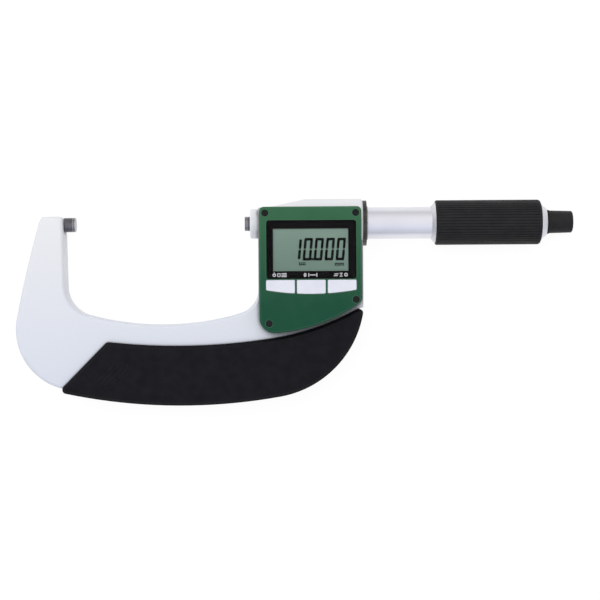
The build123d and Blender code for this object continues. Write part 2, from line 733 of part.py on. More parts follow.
def make_frame():
    """Casting: C frame, nose, housing and boss, with all its cuts."""
    body = slab(frame_outline(), -FRAME_Z, FRAME_Z)
    rims = body.faces().filter_by(Axis.Z).edges()
    body = fillet(rims, FRAME_EDGE_R)
    recess = offset(grip_outline(), FIT, kind=Kind.ARC)
    boss = boss_body() & block(-BIG, BIG, -BIG, BIG, -HOUSING_BACK, BIG)
    boss -= slab(offset(cover_outline(), FIT, kind=Kind.ARC), FRAME_Z, BIG)
    body = body + housing_block() + boss
    body -= slab(recess, WEB_Z, BIG)
    body -= slab(recess, -BIG, -WEB_Z)
    body -= spindle_bores()
    body -= ring(ARM_X - ANVIL_SHANK_L, ARM_X + PAST, ANVIL_SHANK_D + 2 * SEAT)
    body -= ring(ARM_X, ARM_X + PAST, SPINDLE_D + 2 * SPOT_FACE)
    body -= housing_pocket()
    body -= battery_bay()
    ribbon_x = STATOR_FRONT_X + STATOR_T / 2
    body -= block(
        ribbon_x - RIBBON_SLOT_W / 2, ribbon_x + RIBBON_SLOT_W / 2,
        -RIBBON_W / 2 - RIBBON_PLAY, RIBBON_W / 2 + RIBBON_PLAY,
        CHAMBER_D / 2 - RIBBON_SLOT_SINK, FRAME_Z + PAST,
    )
    for point in peg_points():
        body -= post(point, PEG_D + 2 * SEAT, -BIG, BIG)
    for place in standoff_points():
        body += post(place, STANDOFF_D, FRAME_Z, BOARD_Z)
        body -= post(place, BOARD_SCREW_D, BOARD_Z - BOARD_SCREW_DEPTH, BOARD_Z + PAST)
    screw_foot = COVER_Z - COVER_HEAD_SINK - COVER_HEAD_T - COVER_SCREW_L
    for place in cover_screw_points():
        body -= post(place, COVER_SCREW_D, screw_foot - SHORT, FRAME_Z + PAST)
    return body


def make_anvil():
    """Stepped anvil pressed into the arm."""
    head = ring(ARM_X, -TIP_T, SPINDLE_D)
    shank = ring(ARM_X - ANVIL_SHANK_L + SHORT, ARM_X + OVERLAP, ANVIL_SHANK_D)
    return head + shank


def hard_face(x0, x1):
    """Ground hard metal disc."""
    return ring(x0, x1, SPINDLE_D)


def make_wiper():
    """Wiper seal with a lip that closes on the spindle."""
    x0 = NOSE_X + WIPER_RECESS
    lip_r = SPINDLE_R + RUN
    outer_r = BUSH_D / 2
    return turned([
        (x0, lip_r + WIPER_LIP),
        (x0 + WIPER_LIP, lip_r),
        (x0 + WIPER_T, lip_r),
        (x0 + WIPER_T, outer_r),
        (x0, outer_r),
    ])


def make_barrel():
    """Sleeve with the split, threaded nut end under the thimble."""
    body = ring(BARREL_X, HOUSING_END_X, CHAMBER_D)
    body += ring(HOUSING_END_X, BARREL_END_X - NUT_NECK_L, BARREL_D)
    body += ring(BARREL_END_X - NUT_NECK_L, BARREL_END_X, NUT_NECK_D)
    body -= ring(BARREL_X - PAST, NUT_X, BARREL_BORE_D)
    body -= ring(NUT_X - PAST, BARREL_END_X + PAST, THREAD_D + 2 * RUN)
    body -= ring(CLIP_X, CLIP_X + CLIP_T, BIG) - ring(
        CLIP_X - PAST, CLIP_X + CLIP_T + PAST, BARREL_D - 2 * CLIP_GROOVE
    )
    pin_x = LOCK_X + LOCK_T / 2
    body -= Pos(pin_x, 0, BARREL_D / 2) * Cylinder(LOCK_PIN_D / 2 + SEAT, BARREL_D)
    split_x = BARREL_END_X - SPLIT_L
    for i in range(SPLITS):
        cut = block(split_x, BARREL_END_X + PAST, 0, BARREL_D, -SPLIT_W / 2, SPLIT_W / 2)
        body -= Rot(i * 360 / SPLITS + SPLIT_TURN, 0, 0) * cut
    return body


def make_adjusting_nut():
    """Nut that closes the split end on the screw, with key notches."""
    x0 = BARREL_END_X - NUT_NECK_L + ADJUST_GAP
    body = ring(x0, x0 + ADJUST_T, ADJUST_D, NUT_NECK_D + 2 * SEAT)
    for i in range(ADJUST_NOTCHES):
        notch = block(
            x0 + ADJUST_T - ADJUST_NOTCH, x0 + ADJUST_T + PAST,
            0, ADJUST_D, -ADJUST_NOTCH, ADJUST_NOTCH,
        )
        body -= Rot(i * 360 / ADJUST_NOTCHES, 0, 0) * notch
    return body


def make_lock_ring():
    """Knurled ring that clamps the spindle through a pin."""
    body = ribbed(LOCK_X, LOCK_X + LOCK_T, LOCK_D, LOCK_RIBS, LOCK_RIB_DEPTH, LOCK_RIB_LAND)
    return body - ring(LOCK_X - PAST, LOCK_X + LOCK_T + PAST, BARREL_D + 4 * RUN)


def make_lock_clip():
    """Open snap ring that keeps the lock ring on the barrel."""
    body = ring(CLIP_X, CLIP_X + CLIP_T, CLIP_D, BARREL_D - 2 * CLIP_GROOVE)
    return body - block(CLIP_X - PAST, CLIP_X + PAST, -CLIP_D, 0, -CLIP_MOUTH / 2, CLIP_MOUTH / 2)


def make_lock_pin():
    """Pin between the lock ring and the spindle."""
    pin_x = LOCK_X + LOCK_T / 2
    return post((pin_x, 0), LOCK_PIN_D, SPINDLE_R + LOCK_PIN_GAP, BARREL_D / 2)


def make_stator():
    """Fixed encoder disc."""
    return ring(STATOR_FRONT_X, STATOR_FRONT_X + STATOR_T, CHAMBER_D, STATOR_BORE_D)


def make_ribbon():
    """Flat lead from the encoder disc up to the board."""
    x = STATOR_FRONT_X + STATOR_T / 2
    return block(
        x - RIBBON_T / 2, x + RIBBON_T / 2, -RIBBON_W / 2, RIBBON_W / 2,
        CHAMBER_D / 2, BOARD_Z,
    )


def make_rotor():
    """Turning encoder disc on its hub."""
    return ring(ROTOR_X, ROTOR_X + ROTOR_T, ROTOR_D, HUB_D)


def make_hub():
    """Hub with a key that slides in the spindle's keyway."""
    body = ring(ROTOR_X, HUB_END_X, HUB_D, SPINDLE_D + 2 * RUN)
    key = block(
        ROTOR_X, HUB_END_X, SPINDLE_R - KEY_DEPTH, SPINDLE_R + OVERLAP, -KEY_W / 2, KEY_W / 2
    )
    return body + key


def make_thrust_washer():
    """Washer between the hub and the barrel's front end."""
    return ring(HUB_END_X + WASHER_GAP, BARREL_X, WASHER_D, BARREL_BORE_D)


def make_spindle():
    """Spindle with keyway, screw and rear stub."""
    body = ring(GAP + TIP_T, NUT_X, SPINDLE_D)
    body += ring(NUT_X, THIMBLE_END_X - THIMBLE_WALL, THREAD_D)
    body += ring(THIMBLE_END_X - THIMBLE_WALL, END_NUT_END_X, STUB_D)
    way_end = HUB_END_X + TRAVEL + KEYWAY_SPARE
    body -= block(
        ROTOR_X - KEYWAY_SPARE, way_end,
        SPINDLE_R - KEY_DEPTH - RUN, SPINDLE_D, -KEY_W / 2 - RUN, KEY_W / 2 + RUN,
    )
    body -= ring(END_NUT_END_X - SCREW_DEPTH, END_NUT_END_X + PAST, SCREW_D)
    return body


def make_thimble():
    """Metal thimble: front cone, sleeve seat and clamped rear wall."""
    x0 = THIMBLE_FRONT_X
    front_r = THIMBLE_FRONT_D / 2
    cone_r = THIMBLE_CONE_D / 2
    body_r = THIMBLE_BODY_D / 2
    bore_r = THIMBLE_BORE_D / 2
    stub_r = STUB_D / 2 + SEAT
    wall_x = THIMBLE_END_X - THIMBLE_WALL
    return turned([
        (x0, bore_r),
        (x0, front_r),
        (x0 + THIMBLE_CONE_L, cone_r),
        (x0 + GRIP_LEAD, cone_r),
        (x0 + GRIP_LEAD, body_r),
        (THIMBLE_END_X, body_r),
        (THIMBLE_END_X, stub_r),
        (wall_x, stub_r),
        (wall_x, bore_r),
    ])


def make_thimble_grip():
    """Ribbed sleeve on the thimble, with rounded ends."""
    x0 = THIMBLE_FRONT_X + GRIP_LEAD
    x1 = THIMBLE_END_X - GRIP_TAIL
    outer_r = GRIP_D / 2
    knee = GRIP_KNEE * GRIP_EDGE
    body = ribbed(x0, x1, GRIP_D, GRIP_RIBS, RIB_DEPTH, RIB_LAND)
    envelope = turned([
        (x0, 0),
        (x0, outer_r - GRIP_EDGE / 2),
        (x0 + GRIP_EDGE / 2, outer_r),
        (x1 - GRIP_EDGE, outer_r),
        (x1 - knee, outer_r - knee),
        (x1, outer_r - GRIP_EDGE),
        (x1, 0),
    ])
    return (body & envelope) - ring(x0 - PAST, x1 + PAST, THIMBLE_BODY_D + 2 * SEAT)


def make_end_nut():
    """Conical nut that clamps the thimble on the spindle."""
    return turned([
        (THIMBLE_END_X, STUB_D / 2 + SEAT),
        (THIMBLE_END_X, END_NUT_FRONT_D / 2),
        (END_NUT_END_X - END_NUT_EDGE, END_NUT_REAR_D / 2),
        (END_NUT_END_X, END_NUT_REAR_D / 2 - END_NUT_EDGE),
        (END_NUT_END_X, STUB_D / 2 + SEAT),
    ])


def teeth(x_face, height, direction, radius_in, radius_out):
    """Ring of saw teeth on a flat face."""
    step = 360.0 / PLATE_TEETH
    mid_r = (radius_in + radius_out) / 2
    width = TOOTH_SHARE * 2 * math.pi * mid_r / PLATE_TEETH
    profile = make_face(Polyline(
        (x_face, 0), (x_face, width), (x_face + direction * height, width), close=True
    ))
    tooth = Pos(0, 0, radius_in) * extrude(profile, radius_out - radius_in, dir=(0, 0, 1))
    crown = tooth
    for i in range(1, PLATE_TEETH):
        crown += Rot(i * step, 0, 0) * tooth
    return crown


def make_ratchet_plate():
    """Toothed plate fixed on the spindle's end."""
    x1 = KNOB_X + PLATE_T
    plate_d = KNOB_FRONT_D - 2 * KNOB_WALL - 2 * PLATE_PLAY
    plate = ring(END_NUT_END_X, x1, plate_d, SCREW_D + 2 * SEAT)
    return plate + teeth(x1, TOOTH_H, 1, TEETH_IN_R, TEETH_OUT_R)


def make_knob():
    """Ribbed ratchet knob with an inner web that carries the mating teeth."""
    front_r = KNOB_FRONT_D / 2
    rear_r = KNOB_REAR_D / 2
    x1 = KNOB_END_X - CAP_DOME
    body = ribbed(KNOB_X, x1, KNOB_FRONT_D, KNOB_RIBS, KNOB_RIB_DEPTH, KNOB_RIB_LAND)
    body &= turned([
        (KNOB_X, 0),
        (KNOB_X, front_r - KNOB_EDGE),
        (KNOB_X + KNOB_EDGE, front_r),
        (KNOB_X + KNOB_LIP_L, front_r),
        (KNOB_X + KNOB_LIP_L + KNOB_STEP_L, front_r - KNOB_STEP),
        (x1 - KNOB_REAR_EDGE, rear_r),
        (x1, rear_r - KNOB_REAR_EDGE),
        (x1, 0),
    ])
    cavity_d = KNOB_FRONT_D - 2 * KNOB_WALL
    web_x = KNOB_X + KNOB_WEB_X
    body -= ring(KNOB_X - PAST, web_x, cavity_d)
    body -= ring(web_x - PAST, web_x + KNOB_WEB_T + PAST, SCREW_D + 4 * RUN)
    body -= ring(web_x + KNOB_WEB_T, x1 + PAST, KNOB_REAR_D - 2 * KNOB_WALL)
    tooth_h = KNOB_WEB_X - PLATE_T - TOOTH_H - WASHER_GAP
    return body + teeth(web_x, tooth_h, -1, TEETH_IN_R, TEETH_OUT_R)


def make_knob_cap():
    """Domed cap pressed into the knob's end."""
    x0 = KNOB_END_X - CAP_T
    x1 = KNOB_END_X - CAP_DOME
    plug_r = KNOB_REAR_D / 2 - KNOB_WALL - SEAT
    dome_r = (plug_r ** 2 + CAP_DOME ** 2) / (2 * CAP_DOME)
    dome = Pos(KNOB_END_X - dome_r, 0, 0) * Sphere(dome_r)
    return ring(x0, x1 + 2 * CAP_DOME, 2 * plug_r) & dome


def ratchet_head_x():
    """Underside of the ratchet screw's head."""
    return KNOB_X + KNOB_WEB_X + KNOB_WEB_T + SPRING_H + 2 * WASHER_GAP


def make_ratchet_screw():
    """Shoulder screw that holds the ratchet on the spindle."""
    x0 = ratchet_head_x()
    body = ring(END_NUT_END_X - SCREW_DEPTH + SCREW_SHORT, x0, SCREW_D)
    x1 = x0 + SCREW_HEAD_T
    body += ring(x0, x1, SCREW_HEAD_D)
    half = SCREW_SLOT_W / 2
    return body - block(x1 - SCREW_SLOT_DEPTH, x1 + PAST, -BIG, BIG, -half, half)


def make_ratchet_spring():
    """Coned disc spring that presses the teeth together."""
    x0 = KNOB_X + KNOB_WEB_X + KNOB_WEB_T + WASHER_GAP
    x1 = ratchet_head_x() - WASHER_GAP
    r_in = SCREW_D / 2 + 2 * RUN
    r_out = SPRING_D / 2
    return turned([
        (x1 - SPRING_T, r_in),
        (x1, r_in),
        (x0 + SPRING_T, r_out),
        (x0, r_out),
    ])


def grip_grooves():
    """Diagonal grooves beside the grip's slanted edge."""
    corner = grip_corner()
    slant = math.radians(GRIP_SLANT)
    cuts = Part()
    for i in range(GROOVES):
        away = GROOVE_X + i * GROOVE_PITCH
        mid_y = corner[1] - GROOVE_Y
        mid_x = corner[0] + away - (GROOVE_Y - GROOVE_LIFT) / math.tan(slant)
        groove = Pos(mid_x, mid_y, GRIP_FRONT_Z) * Rot(0, 0, GRIP_SLANT) * Box(
            GROOVE_L - i * GROOVE_SHORTER, GROOVE_W, 2 * GROOVE_DEPTH
        )
        cuts += groove
    return cuts


def make_grip(height):
    """Moulded grip that wraps the web and the lower edge, down to the centre plane."""
    body = slab(grip_outline(), 0, height)
    body -= slab(lower_outline(FIT), -PAST, WEB_Z)
    face_edges = body.faces().sort_by(Axis.Z)[-1].edges()
    body = chamfer(face_edges, GRIP_BEVEL)
    for point in peg_points():
        body += post(point, PEG_D, PEG_END, WEB_Z + OVERLAP)
    return body


def make_front_grip():
    """Grip on the display side."""
    return make_grip(GRIP_FRONT_Z) - grip_grooves()


def make_rear_grip():
    """Grip on the back, level with the housing's back."""
    return mirror(make_grip(HOUSING_BACK), Plane.XY)


def make_cover():
    """Display cover: shell with window seat, key holes and screw posts."""
    outline = cover_outline()
    body = slab(outline, COVER_FOOT_Z, COVER_Z)
    body = chamfer(body.faces().sort_by(Axis.Z)[-1].edges(), COVER_BEVEL)
    inner = offset(outline, -COVER_WALL, kind=Kind.ARC)
    body -= slab(inner, COVER_FOOT_Z - PAST, COVER_ROOF_Z)
    left, top = in_cover((WINDOW_X - RIM_W, WINDOW_Y - RIM_W))
    rim = rectangle(left, top, WINDOW_W + 2 * RIM_W, WINDOW_H + RIM_W + RIM_W_LOW)
    ledge_z = WINDOW_Z - MASK_T - LEDGE_T
    body += slab(rim, ledge_z, COVER_ROOF_Z + ROOF_SINK)
    for place in cover_screw_points():
        body += post(place, SCREW_POST_D, COVER_FOOT_Z, COVER_ROOF_Z + ROOF_SINK)
    body -= slab(window_outline(), WINDOW_Z - MASK_T, COVER_Z + PAST)
    body -= slab(window_outline(-LEDGE_W), ledge_z - PAST, COVER_Z)
    for index in range(KEYS):
        hole = offset(key_outline(index), KEY_HOLE_GAP, kind=Kind.ARC)
        body -= slab(hole, COVER_FOOT_Z, COVER_Z + PAST)
    head_z = COVER_Z - COVER_HEAD_SINK - COVER_HEAD_T
    for place in cover_screw_points():
        body -= post(place, COVER_SCREW_D + 2 * COVER_SCREW_PLAY, FRAME_Z - PAST, COVER_Z + PAST)
        body -= post(place, COVER_HEAD_D + 2 * COVER_HEAD_PLAY, head_z, COVER_Z + PAST)
    return body & slab(outline, COVER_FOOT_Z, COVER_Z + PAST)


def make_gasket():
    """Seal between cover and frame."""
    outline = cover_outline()
    outer = offset(outline, -GASKET_INSET, kind=Kind.ARC)
    inner = offset(outline, -GASKET_INSET - GASKET_W, kind=Kind.ARC)
    body = slab(outer - inner, FRAME_Z, COVER_FOOT_Z)
    for place in cover_screw_points():
        body += post(place, SCREW_POST_D, FRAME_Z, COVER_FOOT_Z) & slab(
            outer, FRAME_Z, COVER_FOOT_Z
        )
    for place in cover_screw_points():
        body -= post(place, COVER_SCREW_D + 2 * COVER_SCREW_PLAY, FRAME_Z - PAST, COVER_FOOT_Z + PAST)
    return body


def make_cover_screws():
    """Four socket screws through the cover's corners."""
    head_z = COVER_Z - COVER_HEAD_SINK - COVER_HEAD_T
    screws = []
    for point in cover_screw_points():
        screw = post(point, COVER_SCREW_D, head_z - COVER_SCREW_L, head_z)
        screw += post(point, COVER_HEAD_D, head_z, head_z + COVER_HEAD_T)
        top = head_z + COVER_HEAD_T
        socket = Pos(point[0], point[1]) * RegularPolygon(SOCKET_D / 2, SOCKET_SIDES)
        screw -= slab(socket, top - SOCKET_DEPTH, top + PAST)
        screws.append(screw)
    return Compound(children=screws)


def make_window():
    """Clear window."""
    return slab(window_outline(-2 * SEAT), WINDOW_Z, WINDOW_Z + WINDOW_T)


def make_mask():
    """Black mask behind the window, open over the display."""
    face = window_outline(-2 * SEAT) - lcd_outline()
    return slab(face, WINDOW_Z - MASK_T, WINDOW_Z)


def make_lcd():
    """Display glass."""
    return slab(lcd_outline(GLASS_MARGIN), GLASS_Z, GLASS_Z + GLASS_T)


def strip_outline(side):
    """Contact strip under the display's upper or lower edge."""
    left, top = in_cover((WINDOW_X + LCD_X, WINDOW_Y + LCD_Y))
    if side == 0:
        return rectangle(left, top + GLASS_MARGIN - STRIP_INSET, LCD_W, STRIP_W)
    low = top - LCD_H - GLASS_MARGIN + STRIP_INSET + STRIP_W
    return rectangle(left, low, LCD_W, STRIP_W)


def make_carrier():
    """Tray that holds the display on the board."""
    outer = lcd_outline(GLASS_MARGIN + FIT + CARRIER_WALL)
    body = slab(outer, BOARD_TOP_Z, GLASS_Z + CARRIER_LIP)
    body -= slab(lcd_outline(GLASS_MARGIN + FIT), GLASS_Z, GLASS_Z + CARRIER_LIP + PAST)
    for side in range(2):
        slot = offset(strip_outline(side), SEAT, kind=Kind.INTERSECTION)
        body -= slab(slot, BOARD_TOP_Z - PAST, GLASS_Z + PAST)
    return body


def make_strips():
    """Two contact strips between board and display."""
    strips = [slab(strip_outline(side), BOARD_TOP_Z, GLASS_Z) for side in range(2)]
    return Compound(children=strips)


def make_board():
    """Circuit board, notched round the screw posts."""
    left, right, top, low = board_sides()
    body = slab(rectangle(left, top, right - left, top - low, BOARD_CORNER_R), BOARD_Z, BOARD_TOP_Z)
    for place in cover_screw_points():
        body -= post(place, SCREW_POST_D + 2 * BOARD_INSET, BOARD_Z - PAST, BOARD_TOP_Z + PAST)
    for place in standoff_points():
        body -= post(place, BOARD_SCREW_D + 2 * BOARD_SCREW_PLAY, BOARD_Z - PAST, BOARD_TOP_Z + PAST)
    return body


def make_board_screws():
    """Screws that hold the board on the frame's standoffs."""
    screws = []
    for point in standoff_points():
        screw = post(point, BOARD_SCREW_D, BOARD_Z - BOARD_SCREW_DEPTH + SCREW_SHORT, BOARD_TOP_Z)
        screw += post(point, BOARD_HEAD_D, BOARD_TOP_Z, BOARD_TOP_Z + BOARD_HEAD_T)
        screws.append(screw)
    return Compound(children=screws)


def key_centre(index):
    """Centre of a key, where its switch lies."""
    x = KEY_CAP_X + KEY_CAP_W / 2 + index * (KEY_CAP_W + KEY_CAP_GAP)
    return in_cover((x, KEY_CAP_Y + KEY_SIDE_H / 2 + SWITCH_DROP))


def make_switches():
    """Three domed switches on the board."""
    switches = []
    for index in range(KEYS):
        x, y = key_centre(index)
        low = Pos(x, y, BOARD_TOP_Z + SWITCH_H / 4) * Cylinder(SWITCH_D / 2, SWITCH_H / 2)
        top = Pos(x, y, BOARD_TOP_Z + 3 * SWITCH_H / 4) * Cone(
            SWITCH_D / 2, SWITCH_D / 4, SWITCH_H / 2
        )
        switches.append(low + top)
    return Compound(children=switches)


def make_key(index):
    """Key cap with a retaining flange under the cover."""
    face = key_outline(index)
    cap_top = COVER_Z + KEY_PROUD
    foot = BOARD_TOP_Z + SWITCH_H + KEY_TRAVEL + KEY_REST_GAP
    cap = slab(face, foot, cap_top)
    cap = fillet(cap.faces().sort_by(Axis.Z)[-1].edges(), KEY_EDGE)
    key_top = HOUSING_TOP_Y - KEY_CAP_Y
    flange = offset(face, KEY_FLANGE, kind=Kind.ARC)
    flange &= rectangle(COVER_X, key_top, COVER_W, BIG)
    return cap + slab(flange, foot, COVER_ROOF_Z - KEY_REST_GAP)


def make_cell():
    """Coin cell with its stepped rim."""
    low = post(CELL_CENTRE, CELL_D, CELL_Z, CELL_Z + CELL_RIM_T)
    return low + post(CELL_CENTRE, CELL_D - 2 * CELL_STEP, CELL_Z, CELL_Z + CELL_T)


def make_contacts():
    """Centre pin and side leaf from the cell up to the board."""
    x, y = CELL_CENTRE
    top_z = CELL_Z + CELL_T
    pin = post(CELL_CENTRE, CONTACT_D, top_z, BOARD_Z)
    pin += post(CELL_CENTRE, CONTACT_HEAD_D, top_z, top_z + CONTACT_HEAD_T)
    leaf_y = y - CELL_D / 2 - LEAF_GAP
    leaf = block(
        x - LEAF_W / 2, x + LEAF_W / 2, leaf_y - LEAF_T, leaf_y, -BAY_FLOOR - LEAF_REACH, BOARD_Z
    )
    return Compound(children=[pin, leaf])


def make_battery_cap():
    """Cap with a coin slot and a plug that carries the cell."""
    outer_z = CAP_SINK - HOUSING_BACK
    flange_z = outer_z + CAP_FLANGE
    body = post(CELL_CENTRE, CAP_D - 2 * FIT, outer_z, flange_z)
    body = chamfer(body.faces().sort_by(Axis.Z)[0].edges(), CAP_EDGE)
    body += post(CELL_CENTRE, CELL_D, flange_z, CELL_Z)
    slot = block(
        CELL_CENTRE[0] - CAP_SLOT_L / 2, CELL_CENTRE[0] + CAP_SLOT_L / 2,
        CELL_CENTRE[1] - CAP_SLOT_W / 2, CELL_CENTRE[1] + CAP_SLOT_W / 2,
        outer_z - PAST, outer_z + CAP_SLOT_DEPTH,
    )
    return body - slot


def make_cap_seal():
    """Flat seal between the cap's flange and the bay's shoulder."""
    flange_z = CAP_SINK - HOUSING_BACK + CAP_FLANGE
    body = post(CELL_CENTRE, CAP_D - 4 * FIT, flange_z, CAP_SHOULDER_Z)
    return body - post(CELL_CENTRE, CELL_D + 2 * CELL_GAP, flange_z - PAST, CAP_SHOULDER_Z + PAST)


PIECES = {
    "frame": make_frame,
    "anvil": make_anvil,
    "anvil_tip": lambda: hard_face(-TIP_T, 0),
    "wiper_seal": make_wiper,
    "spindle_bush": lambda: ring(BUSH_X, BUSH_X + BUSH_L, BUSH_D, SPINDLE_D + 2 * RUN),
    "barrel": make_barrel,
    "adjusting_nut": make_adjusting_nut,
    "lock_ring": make_lock_ring,
    "lock_ring_clip": make_lock_clip,
    "lock_pin": make_lock_pin,
    "encoder_stator": make_stator,
    "encoder_ribbon": make_ribbon,
    "encoder_rotor": make_rotor,
    "rotor_hub": make_hub,
    "thrust_washer": make_thrust_washer,
    "spindle": make_spindle,
    "spindle_tip": lambda: hard_face(GAP, GAP + TIP_T),
    "thimble": make_thimble,
    "thimble_grip": make_thimble_grip,
    "thimble_nut": make_end_nut,
    "ratchet_plate": make_ratchet_plate,
    "ratchet_spring": make_ratchet_spring,
    "ratchet_screw": make_ratchet_screw,
    "ratchet_knob": make_knob,
    "knob_cap": make_knob_cap,
    "front_grip": make_front_grip,
    "rear_grip": make_rear_grip,
    "display_cover": make_cover,
    "cover_gasket": make_gasket,
    "cover_screws": make_cover_screws,
    "display_window": make_window,
    "window_mask": make_mask,
    "lcd_glass": make_lcd,
    "lcd_carrier": make_carrier,
    "contact_strips": make_strips,
    "circuit_board": make_board,
    "board_screws": make_board_screws,
    "key_switches": make_switches,
    "key_left": lambda: make_key(0),
    "key_middle": lambda: make_key(1),
    "key_right": lambda: make_key(2),
    "battery": make_cell,
    "battery_contacts": make_contacts,
    "battery_cap": make_battery_cap,
    "cap_seal": make_cap_seal,
}

os.makedirs("parts", exist_ok=True)
for name, make in PIECES.items():
    export_step(make(), os.path.join("parts", name + ".step"))
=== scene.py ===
# %% [markdown]
# # Dressing a digital outside micrometer
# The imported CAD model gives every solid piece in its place: frame, spindle, thimble, display
# cover, keys and what is inside them. This lesson gives those pieces their real finishes, and adds
# what is too thin for the CAD model: the figures on the display and the white signs over the keys.
# A sculpted copy of each piece would be the other way. Keeping the CAD meshes is better here,
# because a measuring tool is all turned, ground and moulded shapes that are already exact.

# %% Load the frame
from math import radians, tan

import bmesh
import bpy
from mathutils import Matrix, Vector


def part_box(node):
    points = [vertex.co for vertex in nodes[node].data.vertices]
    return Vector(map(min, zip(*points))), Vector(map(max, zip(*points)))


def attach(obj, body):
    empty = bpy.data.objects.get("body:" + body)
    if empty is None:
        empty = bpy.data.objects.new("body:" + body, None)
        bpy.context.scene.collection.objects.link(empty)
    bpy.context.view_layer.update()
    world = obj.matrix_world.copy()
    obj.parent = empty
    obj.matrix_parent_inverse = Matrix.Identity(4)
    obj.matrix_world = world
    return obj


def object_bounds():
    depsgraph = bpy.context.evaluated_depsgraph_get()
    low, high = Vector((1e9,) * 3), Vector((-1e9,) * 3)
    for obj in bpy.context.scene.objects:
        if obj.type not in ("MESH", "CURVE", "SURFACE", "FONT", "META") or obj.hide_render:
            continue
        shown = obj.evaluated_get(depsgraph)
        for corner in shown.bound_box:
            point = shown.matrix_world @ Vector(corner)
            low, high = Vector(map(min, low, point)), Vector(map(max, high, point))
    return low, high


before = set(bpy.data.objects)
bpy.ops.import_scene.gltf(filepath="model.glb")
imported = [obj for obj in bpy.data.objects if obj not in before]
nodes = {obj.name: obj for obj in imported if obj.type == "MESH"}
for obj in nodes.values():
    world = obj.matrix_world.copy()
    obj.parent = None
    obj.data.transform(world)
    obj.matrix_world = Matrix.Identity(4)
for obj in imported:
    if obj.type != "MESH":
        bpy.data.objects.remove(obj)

MM = 0.001
MICRON = 0.001 * MM


def in_mm(point):
    """Corner of a box in millimetres, to a tenth, for printing."""
    return [round(value / MM, 1) for value in point]


cad_low, cad_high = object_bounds()
print("CAD nodes:", len(nodes), "from", in_mm(cad_low), "to", in_mm(cad_high), "mm")

# %% [markdown]
# ## The camera
# The tool lies on its back and is seen from straight above, from about arm's length, so the near
# side of each round piece shows a little more than the far side. A camera without perspective
# could do it, but then the ends of the thimble would be straight lines. A real lens at the real
# distance gives their slight curve.

# %% Camera
EYE = Vector((99.23, -33.92, 650.0)) * MM
ROLL = radians(-0.387)
LENS = 87.9
NEAREST = 10 * MM

camera = bpy.data.objects.new("camera", bpy.data.cameras.new("camera"))
camera.location = EYE
camera.rotation_euler = (0.0, 0.0, ROLL)
camera.data.lens = LENS
camera.data.clip_start = NEAREST
bpy.context.scene.collection.objects.link(camera)
bpy.context.scene.camera = camera
print("camera", round(EYE.z / MM), "mm above the table, lens", LENS)

# %% [markdown]
# ## Table, light box and lamps
# Small tools are photographed on white, inside a light box. The table stays white for the camera
# and in reflections, yet takes a soft shadow. An emitting table alone would lose the shadow, and a
# plain lit table would be grey, so the two are mixed. The same is done with the world: plain light
# on the object, white behind it, and a room in its reflections, brighter overhead, warmer above
# the picture and cooler below it.

# %% Table
TABLE_SIDE = 3.0
TABLE_CELLS = 4

table_mesh = bmesh.new()
bmesh.ops.create_grid(table_mesh, x_segments=TABLE_CELLS, y_segments=TABLE_CELLS,
                      size=TABLE_SIDE / 2)
bmesh.ops.translate(table_mesh, vec=(EYE.x, EYE.y, cad_low.z), verts=table_mesh.verts)
table_data = bpy.data.meshes.new("table")
table_mesh.to_mesh(table_data)
table_mesh.free()
table = bpy.data.objects.new("table", table_data)
bpy.context.scene.collection.objects.link(table)
print("table at", round(cad_low.z / MM, 2), "mm")


# %% Node helpers
def emptied(owner):
    """Node tree of a material or world, without its first nodes."""
    owner.use_nodes = True
    owner.node_tree.nodes.clear()
    return owner.node_tree


def node(tree, kind, **values):
    """New node; each value goes to the input socket of that name."""
    made = tree.nodes.new(kind)
    for name, value in values.items():
        made.inputs[name.replace("_", " ")].default_value = value
    return made


def spread(tree, source, start, end, first, last):
    """Value that goes from first to last as the source goes from start to end."""
    made = node(tree, "ShaderNodeMapRange", From_Min=start, From_Max=end,
                To_Min=first, To_Max=last)
    tree.links.new(source, made.inputs["Value"])
    return made.outputs["Result"]


def two_shades(tree, source, low, dark, high, light):
    """Colour that goes from dark to light as the source goes from low to high."""
    made = node(tree, "ShaderNodeValToRGB")
    for stop, position, colour in zip(made.color_ramp.elements, (low, high), (dark, light)):
        stop.position = position
        stop.color = colour
    tree.links.new(source, made.inputs["Fac"])
    return made.outputs["Color"]


def blended(tree, share, first, second):
    """Shader that goes from the first to the second as the share goes from 0 to 1."""
    mix = node(tree, "ShaderNodeMixShader")
    tree.links.new(share, mix.inputs["Fac"])
    tree.links.new(first, mix.inputs[1])
    tree.links.new(second, mix.inputs[2])
    return mix.outputs["Shader"]


def any_of(tree, ray, *kinds):
    """1 for rays of the named kinds, 0 for the others."""
    found = ray.outputs[kinds[0]]
    for kind in kinds[1:]:
        larger = node(tree, "ShaderNodeMath")
        larger.operation = "MAXIMUM"
        tree.links.new(found, larger.inputs[0])
        tree.links.new(ray.outputs[kind], larger.inputs[1])
        found = larger.outputs["Value"]
    return found


print("helpers for node trees are ready")

# %% A table that is white and still takes a shadow
PAPER = (0.9, 0.9, 0.9, 1.0)
GLOW = 1.05
SEEN_GLOW = 0.88              # share of glow for rays that see the table
THROWN_GLOW = 0.3             # share of glow for the light that it throws on the tool

